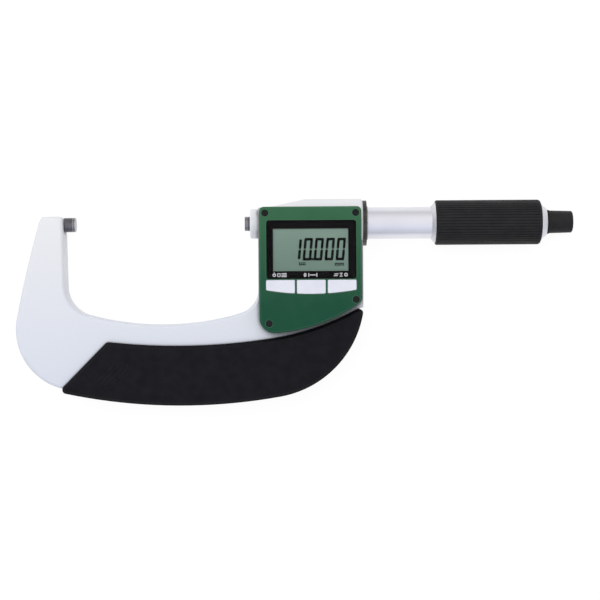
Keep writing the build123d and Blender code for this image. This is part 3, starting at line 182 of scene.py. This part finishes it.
white_table = bpy.data.materials.new("white_table")
tree = emptied(white_table)
paper = node(tree, "ShaderNodeBsdfDiffuse", Color=PAPER)
glow = node(tree, "ShaderNodeEmission", Strength=GLOW)
ray = node(tree, "ShaderNodeLightPath")
seeing = any_of(tree, ray, "Is Camera Ray", "Is Glossy Ray", "Is Transmission Ray")
share = spread(tree, seeing, 0.0, 1.0, THROWN_GLOW, SEEN_GLOW)
surface = node(tree, "ShaderNodeOutputMaterial")
paper_and_glow = blended(tree, share, paper.outputs["BSDF"], glow.outputs["Emission"])
tree.links.new(paper_and_glow, surface.inputs["Surface"])
table.data.materials.append(white_table)
print("share of glow", SEEN_GLOW, "seen,", THROWN_GLOW, "thrown")

# %% World: plain light, white backdrop, a room in reflections
ROOM_LIGHT = 0.6              # plain light on the tool
HORIZON, ZENITH = 0.62, 1.06  # light of the reflected room, low down and overhead
OVERHEAD = 0.85               # height of a direction that counts as overhead
WHITE = (1.0, 1.0, 1.0, 1.0)
COOL, WARM = (0.88, 0.92, 1.0, 1.0), (1.0, 0.98, 0.99, 1.0)
COOL_UP_TO, WARM_FROM = 0.2, 0.6    # from 0, below the picture, to 1, above it

world = bpy.data.worlds.new("light_box")
bpy.context.scene.world = world
tree = emptied(world)
room = node(tree, "ShaderNodeBackground", Color=WHITE, Strength=ROOM_LIGHT)
backdrop = node(tree, "ShaderNodeBackground", Color=WHITE, Strength=1.0)
walls = node(tree, "ShaderNodeBackground")
direction = node(tree, "ShaderNodeTexCoord")
split = node(tree, "ShaderNodeSeparateXYZ")
tree.links.new(direction.outputs["Generated"], split.inputs[0])
along_y = spread(tree, split.outputs["Y"], -1.0, 1.0, 0.0, 1.0)
tree.links.new(two_shades(tree, along_y, COOL_UP_TO, COOL, WARM_FROM, WARM), walls.inputs["Color"])
upwards = spread(tree, split.outputs["Z"], 0.0, OVERHEAD, HORIZON, ZENITH)
tree.links.new(upwards, walls.inputs["Strength"])

ray = node(tree, "ShaderNodeLightPath")
in_gloss = ray.outputs["Is Glossy Ray"]
lit = blended(tree, in_gloss, room.outputs["Background"], walls.outputs["Background"])
behind = any_of(tree, ray, "Is Camera Ray", "Is Transmission Ray")
seen = blended(tree, behind, lit, backdrop.outputs["Background"])
sky = node(tree, "ShaderNodeOutputWorld")
tree.links.new(seen, sky.inputs["Surface"])
print("room light", ROOM_LIGHT)


# %% Two soft boxes
BOX_SIDE = 0.8
UPPER_AT, UPPER_WATTS = (0.02, 0.28, 0.70), 3.1
SIDE_AT, SIDE_WATTS = (-0.40, -0.25, 0.50), 1.0


def soft_box(name, place, power):
    """Square lamp aimed at the middle of the tool, which leaves no hard band on round metal."""
    lamp = bpy.data.objects.new(name, bpy.data.lights.new(name, "AREA"))
    lamp.data.energy = power
    lamp.data.size = BOX_SIDE
    lamp.visible_glossy = False
    lamp.location = Vector(place)
    aim = Vector((EYE.x, EYE.y, 0.0)) - lamp.location
    lamp.rotation_euler = aim.to_track_quat("-Z", "Y").to_euler()
    bpy.context.scene.collection.objects.link(lamp)
    print(name, power, "W at", place)


soft_box("upper_box", UPPER_AT, UPPER_WATTS)
soft_box("side_box", SIDE_AT, SIDE_WATTS)
bpy.context.scene.view_settings.view_transform = "Standard"

# %% [markdown]
# ## How a finish is built
# Each real finish is a colour that is never quite even, a gloss that varies with handling, and a
# relief too fine to model. One principled shader carries the three: a noise tints the colour, the
# same or another noise drives the roughness, and a bump gives the relief. Values that are even all
# over sit on the shader itself. Two more helpers paint light and shade into the colour: edges get
# another shade, mostly a painted highlight, and narrow gaps get a painted shade where less sky
# reaches them. A painted picture could do it too, but a procedural one has no seams on turned
# pieces and no files.


# %% Colours and plain shaders
def linear(levels):
    """Colour as an sRGB picture stores it, 0 to 255, turned into light, with full cover."""
    parts = [value / 255 for value in levels]
    light = [v / 12.92 if v <= 0.04045 else ((v + 0.055) / 1.055) ** 2.4 for v in parts]
    return (*light, 1.0)


def finish(name, colour, roughness, metallic=0.0, sheen=0.5):
    """Material with one principled shader and its even values; sheen is its mirror level."""
    material = bpy.data.materials.new(name)
    material.use_nodes = True
    shader = material.node_tree.nodes["Principled BSDF"]
    shader.inputs["Base Color"].default_value = linear(colour)
    shader.inputs["Roughness"].default_value = roughness
    shader.inputs["Metallic"].default_value = metallic
    shader.inputs["Specular IOR Level"].default_value = sheen
    return material, shader


def noise(material, scale, detail=3.0, stretch=(1.0, 1.0, 1.0)):
    """Noise in the object's own space; a small stretch makes streaks along that axis."""
    tree = material.node_tree
    place = node(tree, "ShaderNodeTexCoord")
    mapping = node(tree, "ShaderNodeMapping", Scale=stretch)
    grain = node(tree, "ShaderNodeTexNoise", Scale=scale, Detail=detail)
    tree.links.new(place.outputs["Object"], mapping.inputs["Vector"])
    tree.links.new(mapping.outputs["Vector"], grain.inputs["Vector"])
    return grain.outputs["Fac"]


print("white paper is", [round(v, 2) for v in linear((255, 255, 255))])


# %% Tint, gloss and relief
NOISE_LOW, NOISE_HIGH = 0.3, 0.7    # most of a noise lies between these


def tint(material, shader, source, dark, light, low=NOISE_LOW, high=NOISE_HIGH):
    """Colour between two shades, as the noise goes from low to high."""
    tree = material.node_tree
    colour = two_shades(tree, source, low, linear(dark), high, linear(light))
    tree.links.new(colour, shader.inputs["Base Color"])


def gloss(material, shader, source, smooth, rough):
    """Roughness between two values, from the same kind of noise."""
    tree = material.node_tree
    roughness = spread(tree, source, NOISE_LOW, NOISE_HIGH, smooth, rough)
    tree.links.new(roughness, shader.inputs["Roughness"])


def relief(material, shader, source, depth):
    """Bump of a real depth; a second one is laid over the first."""
    tree = material.node_tree
    bump = node(tree, "ShaderNodeBump", Strength=1.0, Distance=depth)
    tree.links.new(source, bump.inputs["Height"])
    socket = shader.inputs["Normal"]
    if socket.links:
        tree.links.new(socket.links[0].from_socket, bump.inputs["Normal"])
    tree.links.new(bump.outputs["Normal"], socket)


def light_along_y(material, source, low_y, high_y, share):
    """0 to 1 up the object's Y between two heights, with a share of noise in it, for painted light
    that changes with height.
    """
    tree = material.node_tree
    place = node(tree, "ShaderNodeTexCoord")
    split = node(tree, "ShaderNodeSeparateXYZ")
    tree.links.new(place.outputs["Object"], split.inputs[0])
    height = spread(tree, split.outputs["Y"], low_y, high_y, 0.0, 1.0 - share)
    both = node(tree, "ShaderNodeMath")
    both.operation = "MULTIPLY_ADD"
    both.inputs[1].default_value = share
    tree.links.new(source, both.inputs[0])
    tree.links.new(height, both.inputs[2])
    return both.outputs[0]


print("noise counts from", NOISE_LOW, "to", NOISE_HIGH)

# %% Painted edge highlights and painted shade in gaps
ON_FACE, AT_EDGE = 0.99, 0.8        # how far the rounded normal agrees with the real one
IN_OPEN, IN_GAP = 0.9, 0.45         # share of the sky that a point sees
EDGE_SAMPLES, GAP_SAMPLES = 4, 8


def over(material, shader, share, shade):
    """Lays another shade over the colour so far, by a share from 0 to 1."""
    tree = material.node_tree
    mix = node(tree, "ShaderNodeMix")
    mix.data_type = "RGBA"
    mix.inputs["B"].default_value = linear(shade)
    tree.links.new(share, mix.inputs["Factor"])
    socket = shader.inputs["Base Color"]
    tree.links.new(socket.links[0].from_socket, mix.inputs["A"])
    tree.links.new(mix.outputs["Result"], socket)


def edge_light_and_shade(material, shader, radius, shade, amount):
    """Another shade laid on the edges, mostly lighter, as a painted highlight on a rounded edge.
    """
    tree = material.node_tree
    rounded = node(tree, "ShaderNodeBevel", Radius=radius)
    rounded.samples = EDGE_SAMPLES
    straight = node(tree, "ShaderNodeNewGeometry")
    agreement = node(tree, "ShaderNodeVectorMath")
    agreement.operation = "DOT_PRODUCT"
    tree.links.new(rounded.outputs["Normal"], agreement.inputs[0])
    tree.links.new(straight.outputs["Normal"], agreement.inputs[1])
    edge_share = spread(tree, agreement.outputs["Value"], ON_FACE, AT_EDGE, 0.0, amount)
    over(material, shader, edge_share, shade)


def painted_gap_shade(material, shader, reach, shade, amount):
    """Painted shade, darker where other pieces stand close and hide the sky."""
    tree = material.node_tree
    open_sky = node(tree, "ShaderNodeAmbientOcclusion", Distance=reach)
    open_sky.samples = GAP_SAMPLES
    gap_shade = spread(tree, open_sky.outputs["AO"], IN_OPEN, IN_GAP, 0.0, amount)
    over(material, shader, gap_shade, shade)


def wear(piece_names, material):
    """Gives CAD nodes this material in all their slots."""
    for name in piece_names:
        for place in nodes[name].material_slots:
            place.material = material
    print(material.name, "on", ", ".join(piece_names))


print("edges fade from", ON_FACE, "to", AT_EDGE, "and gaps from", IN_OPEN, "to", IN_GAP)

# %% [markdown]
# ## Lacquer on the frame
# The cast frame has a baked lacquer with a fine crackle that hides casting marks and gives grip.
# Up close it is a field of small rounded grains. A noise of under half a millimetre gives them,
# and a finer one the sparkle between them. Painted light runs the colour from a cooler grey low on
# the frame to a warmer one at its top, and a painted highlight makes the edges pale.

# %% Lacquer
LACQUER_LOW, LACQUER_HIGH = -78 * MM, 11 * MM
LACQUER_GRAIN = 0.25          # share of the grains in its tint

lacquer, shader = finish("lacquer", (222, 226, 233), 0.42)
grains = noise(lacquer, 2300.0, detail=2.0)
# painted light: the tint runs from a cooler, darker grey low on the frame to a warmer one at its
# top
grain_and_painted_light = light_along_y(lacquer, grains, LACQUER_LOW, LACQUER_HIGH, LACQUER_GRAIN)
tint(lacquer, shader, grain_and_painted_light, (207, 213, 227), (228, 228, 231), low=0.1, high=0.9)
gloss(lacquer, shader, noise(lacquer, 60.0), 0.36, 0.5)
relief(lacquer, shader, grains, 18 * MICRON)
relief(lacquer, shader, noise(lacquer, 6500.0, detail=1.0), 6 * MICRON)
# painted highlight: the frame's edges are drawn paler than the lacquer
edge_light_and_shade(lacquer, shader, 0.5 * MM, (236, 238, 242), 0.5)
# painted shade: darker where other pieces stand close, as in the strip between the cover and the
# grips
painted_gap_shade(lacquer, shader, 2.5 * MM, (48, 52, 54), 0.95)
wear(["frame"], lacquer)

# %% [markdown]
# ## Turned and ground metal
# The barrel is turned, then chromed to a satin sheen. The cutting tool leaves rings round the
# axis, so their noise is fine along X and nearly even round the piece. The thimble is blasted
# first, so its chrome is duller and catches light from a wider angle. Ground steel is darker and
# closer in grain. Hard-metal faces are lapped, so they have almost no grain at all. Anisotropy
# would give streaked highlights too, but it needs tangents that a CAD mesh doesn't have.

# %% Satin chrome
ROUND_X = (1.0, 0.03, 0.03)   # rings round an axis along X

satin_chrome, shader = finish("satin_chrome", (228, 228, 235), 0.34, metallic=1.0)
rings = noise(satin_chrome, 5200.0, detail=2.0, stretch=ROUND_X)
tint(satin_chrome, shader, noise(satin_chrome, 38.0), (222, 222, 230), (233, 233, 239))
gloss(satin_chrome, shader, rings, 0.28, 0.42)
relief(satin_chrome, shader, rings, 2.5 * MICRON)
wear(["barrel"], satin_chrome)

# %% Matt chrome
matt_chrome, shader = finish("matt_chrome", (232, 232, 236), 0.55, metallic=1.0)
rings = noise(matt_chrome, 5200.0, detail=2.0, stretch=ROUND_X)
tint(matt_chrome, shader, noise(matt_chrome, 38.0), (226, 226, 231), (238, 238, 241))
gloss(matt_chrome, shader, rings, 0.5, 0.62)
relief(matt_chrome, shader, rings, 3 * MICRON)
# painted highlight: the thimble's edges, such as the rim of its cone, are drawn white
edge_light_and_shade(matt_chrome, shader, 0.4 * MM, (255, 255, 255), 0.9)
wear(["thimble", "thimble_nut"], matt_chrome)

# %% Ground steel
ground_steel, shader = finish("ground_steel", (104, 104, 108), 0.3, metallic=1.0)
rings = noise(ground_steel, 9000.0, detail=2.0, stretch=ROUND_X)
tint(ground_steel, shader, noise(ground_steel, 420.0), (94, 94, 99), (112, 112, 116))
gloss(ground_steel, shader, rings, 0.22, 0.38)
relief(ground_steel, shader, rings, 1.5 * MICRON)
wear(["anvil", "spindle", "adjusting_nut", "rotor_hub", "board_screws", "ratchet_screw"],
     ground_steel)

# %% Hard metal
hard_metal, shader = finish("hard_metal", (124, 123, 128), 0.18, metallic=1.0)
tint(hard_metal, shader, noise(hard_metal, 5000.0, detail=1.0), (118, 117, 122), (130, 129, 134))
gloss(hard_metal, shader, noise(hard_metal, 900.0), 0.14, 0.24)
# painted highlight: the edges of the tips are drawn much lighter
edge_light_and_shade(hard_metal, shader, 0.5 * MM, (216, 216, 220), 0.8)
wear(["anvil_tip", "spindle_tip"], hard_metal)

# %% Dark clamp ring and screws
dark_steel, shader = finish("dark_steel", (74, 78, 76), 0.3, metallic=0.85)
tint(dark_steel, shader, noise(dark_steel, 170.0), (40, 48, 46), (96, 88, 82))
rings = noise(dark_steel, 5200.0, detail=2.0, stretch=ROUND_X)
gloss(dark_steel, shader, rings, 0.24, 0.4)
relief(dark_steel, shader, rings, 2 * MICRON)
# painted highlight: the edges of the ring and pin are drawn paler
edge_light_and_shade(dark_steel, shader, 0.3 * MM, (140, 140, 136), 0.5)
wear(["lock_ring", "lock_pin"], dark_steel)

black_screw, shader = finish("black_screw", (32, 34, 35), 0.36, metallic=0.8, sheen=0.2)
tint(black_screw, shader, noise(black_screw, 1500.0), (26, 28, 29), (40, 42, 43))
# painted highlight: the screws' edges are drawn lighter
edge_light_and_shade(black_screw, shader, 0.2 * MM, (84, 86, 88), 0.35)
wear(["cover_screws"], black_screw)

# %% [markdown]
# ## Moulded pieces
# The grips are a hard black plastic from a spark-eroded mould, so they have an even pitted grain,
# and a painted highlight makes their edges lighter. The thimble and knob sleeves are softer, with
# straight ribs that the CAD model has. The cover is dyed green and lightly pebbled, and painted
# light makes it a little paler towards its top. Each is the same recipe at another scale.

# %% Black moulding
black_moulding, shader = finish("black_moulding", (20, 19, 23), 0.44, sheen=0.08)
pits = noise(black_moulding, 3400.0, detail=2.0)
tint(black_moulding, shader, noise(black_moulding, 240.0), (17, 16, 20), (24, 23, 28))
gloss(black_moulding, shader, noise(black_moulding, 90.0), 0.38, 0.52)
relief(black_moulding, shader, pits, 20 * MICRON)
# painted highlight: the grips' edges are drawn lighter
edge_light_and_shade(black_moulding, shader, 0.4 * MM, (56, 56, 62), 0.5)
wear(["front_grip", "rear_grip", "battery_cap"], black_moulding)

# %% Black sleeve
black_sleeve, shader = finish("black_sleeve", (34, 34, 35), 0.5, sheen=0.15)
tint(black_sleeve, shader, noise(black_sleeve, 260.0), (30, 30, 32), (38, 38, 39))
gloss(black_sleeve, shader, noise(black_sleeve, 130.0), 0.42, 0.6)
relief(black_sleeve, shader, noise(black_sleeve, 4200.0, detail=2.0), 10 * MICRON)
# painted highlight: the edges of the sleeves and their ribs are drawn lighter
edge_light_and_shade(black_sleeve, shader, 0.2 * MM, (62, 62, 64), 0.4)
wear(["thimble_grip", "ratchet_knob", "knob_cap"], black_sleeve)

# %% Green cover
COVER_LOW, COVER_HIGH = -38 * MM, 7 * MM
COVER_CLOUD = 0.28            # share of noise in its tint

green_cover, shader = finish("green_cover", (38, 88, 63), 0.4, sheen=0.12)
pebbles = noise(green_cover, 2900.0, detail=2.0)
# painted light: the cover is drawn paler towards its top and darker towards its bottom
mottle_and_painted_light = light_along_y(green_cover, noise(green_cover, 150.0), COVER_LOW, COVER_HIGH, COVER_CLOUD)
tint(green_cover, shader, mottle_and_painted_light, (22, 72, 53), (53, 99, 70), low=0.14, high=0.86)
gloss(green_cover, shader, noise(green_cover, 80.0), 0.34, 0.46)
relief(green_cover, shader, pebbles, 16 * MICRON)
# painted highlight: the cover's edges are drawn as a lighter green line
edge_light_and_shade(green_cover, shader, 0.5 * MM, (96, 142, 114), 0.7)
wear(["display_cover"], green_cover)

# %% White keys
white_key, shader = finish("white_key", (219, 221, 233), 0.34)
tint(white_key, shader, noise(white_key, 200.0), (215, 217, 230), (223, 225, 236))
gloss(white_key, shader, noise(white_key, 300.0), 0.28, 0.42)
relief(white_key, shader, noise(white_key, 3000.0, detail=1.0), 6 * MICRON)
edge_light_and_shade(white_key, shader, 0.3 * MM, (205, 206, 214), 0.5)
wear(["key_left", "key_middle", "key_right"], white_key)

# %% [markdown]
# ## Display
# Under the clear window lies a black printed border, and under its opening the liquid-crystal
# glass: a grey-green field, with painted shade that makes it a little darker towards its lower
# edge.
# The window must let light through to it. A refracting glass shader would stop the lamps' light,
# so the window is mostly transparent with a clear gloss of its own.

# %% Display glass and border
GLASS_LOW, GLASS_HIGH = -21 * MM, -4 * MM
GLASS_CLOUD = 0.5             # share of noise in its tint

display_glass, shader = finish("display_glass", (131, 160, 146), 0.3)
cloud = noise(display_glass, 55.0, detail=2.0)
# painted shade: the glass is drawn darker towards its lower edge
field_and_painted_shade = light_along_y(display_glass, cloud, GLASS_LOW, GLASS_HIGH, GLASS_CLOUD)
tint(display_glass, shader, field_and_painted_shade, (118, 147, 134), (134, 162, 149))
relief(display_glass, shader, noise(display_glass, 6000.0, detail=1.0), 2 * MICRON)
wear(["lcd_glass"], display_glass)

black_print, shader = finish("black_print", (9, 6, 9), 0.4, sheen=0.05)
tint(black_print, shader, noise(black_print, 700.0), (7, 5, 8), (11, 8, 11))
wear(["window_mask"], black_print)

# %% Clear window
clear_window, shader = finish("clear_window", (26, 30, 28), 0.08)
shader.inputs["Alpha"].default_value = 0.09
shader.inputs["IOR"].default_value = 1.5
gloss(clear_window, shader, noise(clear_window, 120.0), 0.05, 0.14)
wear(["display_window"], clear_window)

# %% [markdown]
# ## Pieces inside
# None of these shows from outside, but a cut-away view or an open cover would show them, so each
# gets the finish that it has in the real tool: a green solder mask, amber ribbon, bronze springs,
# white nylon.


# %% Inner finishes
FINER = 6                     # how much finer the relief is than the tint


def inner(name, dark, light, roughness, metallic, scale, pieces):
    """Finish of hidden pieces: two shades and a fine relief."""
    material, shader = finish(name, light, roughness, metallic)
    tint(material, shader, noise(material, scale), dark, light)
    relief(material, shader, noise(material, scale * FINER, detail=1.0), 4 * MICRON)
    wear(pieces, material)


inner("bronze", (150, 112, 62), (186, 146, 88), 0.34, 1.0, 500.0,
      ["spindle_bush", "battery_contacts"])
inner("seal_rubber", (28, 28, 29), (38, 38, 40), 0.62, 0.0, 700.0,
      ["wiper_seal", "cover_gasket", "cap_seal", "contact_strips"])
inner("white_nylon", (222, 220, 208), (236, 234, 224), 0.42, 0.0, 200.0,
      ["lcd_carrier", "thrust_washer"])
inner("ribbon", (176, 116, 44), (204, 142, 62), 0.3, 0.0, 260.0, ["encoder_ribbon"])
inner("cell_steel", (188, 188, 186), (208, 208, 206), 0.26, 1.0, 300.0, ["battery"])
inner("spring_steel", (140, 142, 148), (172, 174, 180), 0.28, 1.0, 900.0,
      ["lock_ring_clip", "ratchet_spring", "ratchet_plate", "key_switches"])
inner("board", (24, 78, 48), (34, 98, 60), 0.38, 0.0, 420.0,
      ["circuit_board", "encoder_stator", "encoder_rotor"])

# %% [markdown]
# ## Figures on the display
# Liquid-crystal figures are flat bars with pointed ends, seven to a digit, leaning a few degrees.
# A font would have the wrong joints, so each bar is a thin block whose upright corners are
# bevelled to a point, and a shear leans the finished row. The bars are a few hundredths thick, so
# they lie on the glass without a gap.

# %% Bars that make figures
INK = 0.03 * MM
FULL_POINT = 0.49             # bevel of a bar's corners, as a share of its width


def fresh(mesh, old):
    """Vertices made since that set was taken."""
    return [vertex for vertex in mesh.verts if vertex not in old]


def bar(mesh, centre, length, width, upright=False, point=FULL_POINT):
    """Flat bar with pointed ends, lying or upright."""
    old = set(mesh.verts)
    bmesh.ops.create_cube(mesh, size=1.0)
    bmesh.ops.scale(mesh, vec=(length, width, INK), verts=fresh(mesh, old))
    posts = {edge for vertex in fresh(mesh, old) for edge in vertex.link_edges}
    posts = [edge for edge in posts if abs((edge.verts[0].co - edge.verts[1].co).z) > INK / 2]
    if point:
        bmesh.ops.bevel(mesh, geom=posts, offset=width * point, segments=1, profile=0.5,
                        affect="EDGES", material=-1)
    if upright:
        quarter = Matrix.Rotation(radians(90), 3, "Z")
        bmesh.ops.rotate(mesh, cent=(0, 0, 0), matrix=quarter, verts=fresh(mesh, old))
    bmesh.ops.translate(mesh, vec=(*centre, INK / 2), verts=fresh(mesh, old))


print("ink is", round(INK / MM, 2), "mm thick")


# %% Rings, and how a mesh becomes a piece
RING_SIDES = 36


def hoop(mesh, centre, radius, band, tall=1.0):
    """Flat ring, drawn out upwards if tall is over 1."""
    old = set(mesh.verts)
    bmesh.ops.create_circle(mesh, cap_ends=True, radius=radius, segments=RING_SIDES)
    disc = fresh(mesh, old)[0].link_faces[0]
    inset = bmesh.ops.inset_region(mesh, faces=[disc], thickness=band, use_boundary=True,
                                    use_even_offset=True)
    bmesh.ops.delete(mesh, geom=[disc], context="FACES_ONLY")
    bmesh.ops.solidify(mesh, geom=inset["faces"], thickness=INK)
    bmesh.ops.scale(mesh, vec=(1.0, tall, 1.0), verts=fresh(mesh, old))
    bmesh.ops.translate(mesh, vec=(*centre, INK), verts=fresh(mesh, old))


def piece_from(mesh, name, material, height):
    """Object at the origin, with its place in its mesh; it rides on the body."""
    bmesh.ops.translate(mesh, vec=(0.0, 0.0, height), verts=mesh.verts)
    bmesh.ops.recalc_face_normals(mesh, faces=mesh.faces)
    data = bpy.data.meshes.new(name)
    mesh.to_mesh(data)
    mesh.free()
    data.materials.append(material)
    made = bpy.data.objects.new(name, data)
    bpy.context.scene.collection.objects.link(made)
    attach(made, "body")
    print(name, len(data.polygons), "faces at", round(height / MM, 2), "mm")
    return made


print("rings have", RING_SIDES, "sides")

# %% The row of figures
STROKE = 1.16 * MM
DIGIT_W, DIGIT_H = 2.65 * MM, 8.7 * MM
LYING_BAR = DIGIT_W + STROKE * 0.85
UPRIGHT_POINT, LYING_POINT = 0.28, 0.22
DOT = STROKE * 0.9
DIGIT_PITCH = 4.79 * MM
ROW_RIGHT, ROW_Y = 117.15 * MM, -11.83 * MM
JOINT_GAP = 0.28 * MM
LEAN = radians(5.5)
READING = "10.000"


def figure(mesh, x, digit):
    """Bars of a 0 or a 1, centred at x."""
    for side in (-1, 1) if digit == "0" else (1,):
        for half in (-1, 1):
            centre = (x + side * DIGIT_W / 2, half * (DIGIT_H + JOINT_GAP) / 4)
            bar(mesh, centre, (DIGIT_H - JOINT_GAP) / 2, STROKE, upright=True, point=UPRIGHT_POINT)
    if digit == "0":
        for end in (-1, 1):
            bar(mesh, (x, end * DIGIT_H / 2), LYING_BAR, STROKE, point=LYING_POINT)


figures = bmesh.new()
column = ROW_RIGHT
for sign in reversed(READING):
    if sign == ".":
        bar(figures, (column + DIGIT_PITCH / 2, -DIGIT_H / 2), DOT, DOT, point=0)
    else:
        figure(figures, column, sign)
        column -= DIGIT_PITCH
shear = Matrix.Shear("XZ", 3, (tan(LEAN), 0.0))
bmesh.ops.transform(figures, matrix=shear.to_4x4(), verts=figures.verts)
print("reading", READING, "with", len(figures.faces), "faces")

# %% [markdown]
# ## Finish of the figures
# Lit bars of a liquid crystal are not painted: the glass turns dark there, with a hint of the
# green field in it. They get a dark grey-green of their own, and lie on the glass. The unit is set
# in a plain font, and a small toothed mark on the left stands for the mode that such a display
# shows.

# %% Figures on the glass
LCD_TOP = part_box("lcd_glass")[1].z

dark_crystal, shader = finish("dark_crystal", (5, 8, 8), 0.3, sheen=0.05)
tint(dark_crystal, shader, noise(dark_crystal, 400.0), (3, 5, 5), (8, 11, 11))
bmesh.ops.translate(figures, vec=(0.0, ROW_Y, 0.0), verts=figures.verts)
piece_from(figures, "lcd_figures", dark_crystal, LCD_TOP)


# %% Unit under the figures
UNIT_AT, UNIT_H = (116.5 * MM, -18.25 * MM), 2.7 * MM
BOLDER = 0.03                 # share of the height that thickens each stroke


def words(name, text, height, centre, material, top):
    """Flat text, made a mesh before it is put in its place."""
    curve = bpy.data.curves.new(name, "FONT")
    curve.body = text
    curve.size = height
    curve.extrude = INK / 2
    curve.offset = height * BOLDER
    curve.align_x, curve.align_y = "CENTER", "CENTER"
    holder = bpy.data.objects.new(name + "_curve", curve)
    bpy.context.scene.collection.objects.link(holder)
    bpy.context.view_layer.update()
    data = bpy.data.meshes.new_from_object(holder)
    bpy.data.objects.remove(holder)
    data.transform(Matrix.Translation((*centre, top + INK / 2)))
    data.materials.clear()
    data.materials.append(material)
    data.name = name
    made = bpy.data.objects.new(name, data)
    bpy.context.scene.collection.objects.link(made)
    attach(made, "body")
    print(name, len(data.polygons), "faces")


words("lcd_unit", "mm", UNIT_H, UNIT_AT, dark_crystal, LCD_TOP)

# %% Small mark on the left, under the figures
MARK_X, MARK_Y = 100.3 * MM, -18.0 * MM
FOOT_W, FOOT_LINE, FOOT_DROP = 3.0 * MM, 0.36 * MM, 0.6 * MM
TOOTH_H, TOOTH_LINE, TOOTH_LIFT = 1.1 * MM, 0.4 * MM, 0.1 * MM
TOOTH_PITCH = 0.8 * MM

mark = bmesh.new()
bar(mark, (MARK_X, MARK_Y - FOOT_DROP), FOOT_W, FOOT_LINE, point=0)
for tooth in (-1.5, -0.5, 0.5, 1.5):
    centre = (MARK_X + tooth * TOOTH_PITCH, MARK_Y + TOOTH_LIFT)
    bar(mark, centre, TOOTH_H, TOOTH_LINE, upright=True, point=0)
piece_from(mark, "lcd_flag", dark_crystal, LCD_TOP)

# %% [markdown]
# ## Signs over the keys
# White signs on the black border say what each key does. They are screen printed, so they stand up
# a few hundredths of a millimetre. Plain signs of rings and bars are enough, at the size of the
# print on such a tool, and they are made of the same flat bars as the figures.

# %% White ink and the size of a sign
white_print, shader = finish("white_print", (206, 204, 210), 0.5)
tint(white_print, shader, noise(white_print, 1800.0), (192, 190, 197), (216, 214, 219))

SIGN_Y = -23.05 * MM
SIGN_H = 1.65 * MM
SIGN_LINE = 0.36 * MM
HALF_H = (SIGN_H - SIGN_LINE) / 2
RING_R = SIGN_H * 0.47
signs = bmesh.new()
print("signs are", round(SIGN_H / MM, 2), "mm high")


# %% Posts and rungs
def post(x):
    """Upright bar as tall as a sign."""
    bar(signs, (x, SIGN_Y), SIGN_H, SIGN_LINE, upright=True, point=0)


def rung(x, row, length, point=0):
    """Lying bar; row -1, 0 or 1 puts it at the foot, the middle or the top of a sign."""
    bar(signs, (x, SIGN_Y + row * HALF_H), length, SIGN_LINE, point=point)


SHORT_RUNG = 1.3 * MM
print("rows are", round(HALF_H / MM, 3), "mm apart")

# %% Left sign: a ring with a tick, a frame and three lines
RING_X, FRAME_X, LINES_X = 88.125 * MM, 90.125 * MM, 92.375 * MM
TICK_H, TICK_LIFT = SIGN_H * 0.6, SIGN_H * 0.38
FRAME_HALF, LINE_W = 0.55 * MM, 2.3 * MM

hoop(signs, (RING_X, SIGN_Y), RING_R, SIGN_LINE)
bar(signs, (RING_X, SIGN_Y + TICK_LIFT), TICK_H, SIGN_LINE, upright=True, point=0)
for side in (-1, 1):
    post(FRAME_X + side * FRAME_HALF)
    rung(FRAME_X, side, SHORT_RUNG)
for row in (-1, 0, 1):
    rung(LINES_X, row, LINE_W)
print("left sign:", len(signs.faces), "faces so far")

# %% Middle sign: a zero and a span between two ends
ZERO_X, SPAN_X = 101.525 * MM, 104.875 * MM
ZERO_R, ZERO_TALL = SIGN_H * 0.36, 1.36
SPAN_HALF, SPAN_BAR = 1.75 * MM, 2.8 * MM

hoop(signs, (ZERO_X, SIGN_Y), ZERO_R, SIGN_LINE, tall=ZERO_TALL)
for side in (-1, 1):
    post(SPAN_X + side * SPAN_HALF)
rung(SPAN_X, 0, SPAN_BAR, point=FULL_POINT)
print("middle sign:", len(signs.faces), "faces so far")

# %% Right sign: two shifted lines, two plates on a post and a ring
SHIFT_X, PLATES_X, LAST_RING_X = 115.0 * MM, 117.2 * MM, 119.3 * MM
SHIFT, SHIFT_RISE, SHIFT_BAR = 0.15 * MM, 0.38 * MM, 1.9 * MM

for side in (-1, 1):
    centre = (SHIFT_X + side * SHIFT, SIGN_Y + side * SHIFT_RISE)
    bar(signs, centre, SHIFT_BAR, SIGN_LINE)
for side in (-1, 1):
    rung(PLATES_X, side, SHORT_RUNG)
post(PLATES_X)
hoop(signs, (LAST_RING_X, SIGN_Y), RING_R, SIGN_LINE)
print("all three signs:", len(signs.faces), "faces")

# %% Signs on the window
WINDOW_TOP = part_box("display_window")[1].z
piece_from(signs, "window_signs", white_print, WINDOW_TOP)
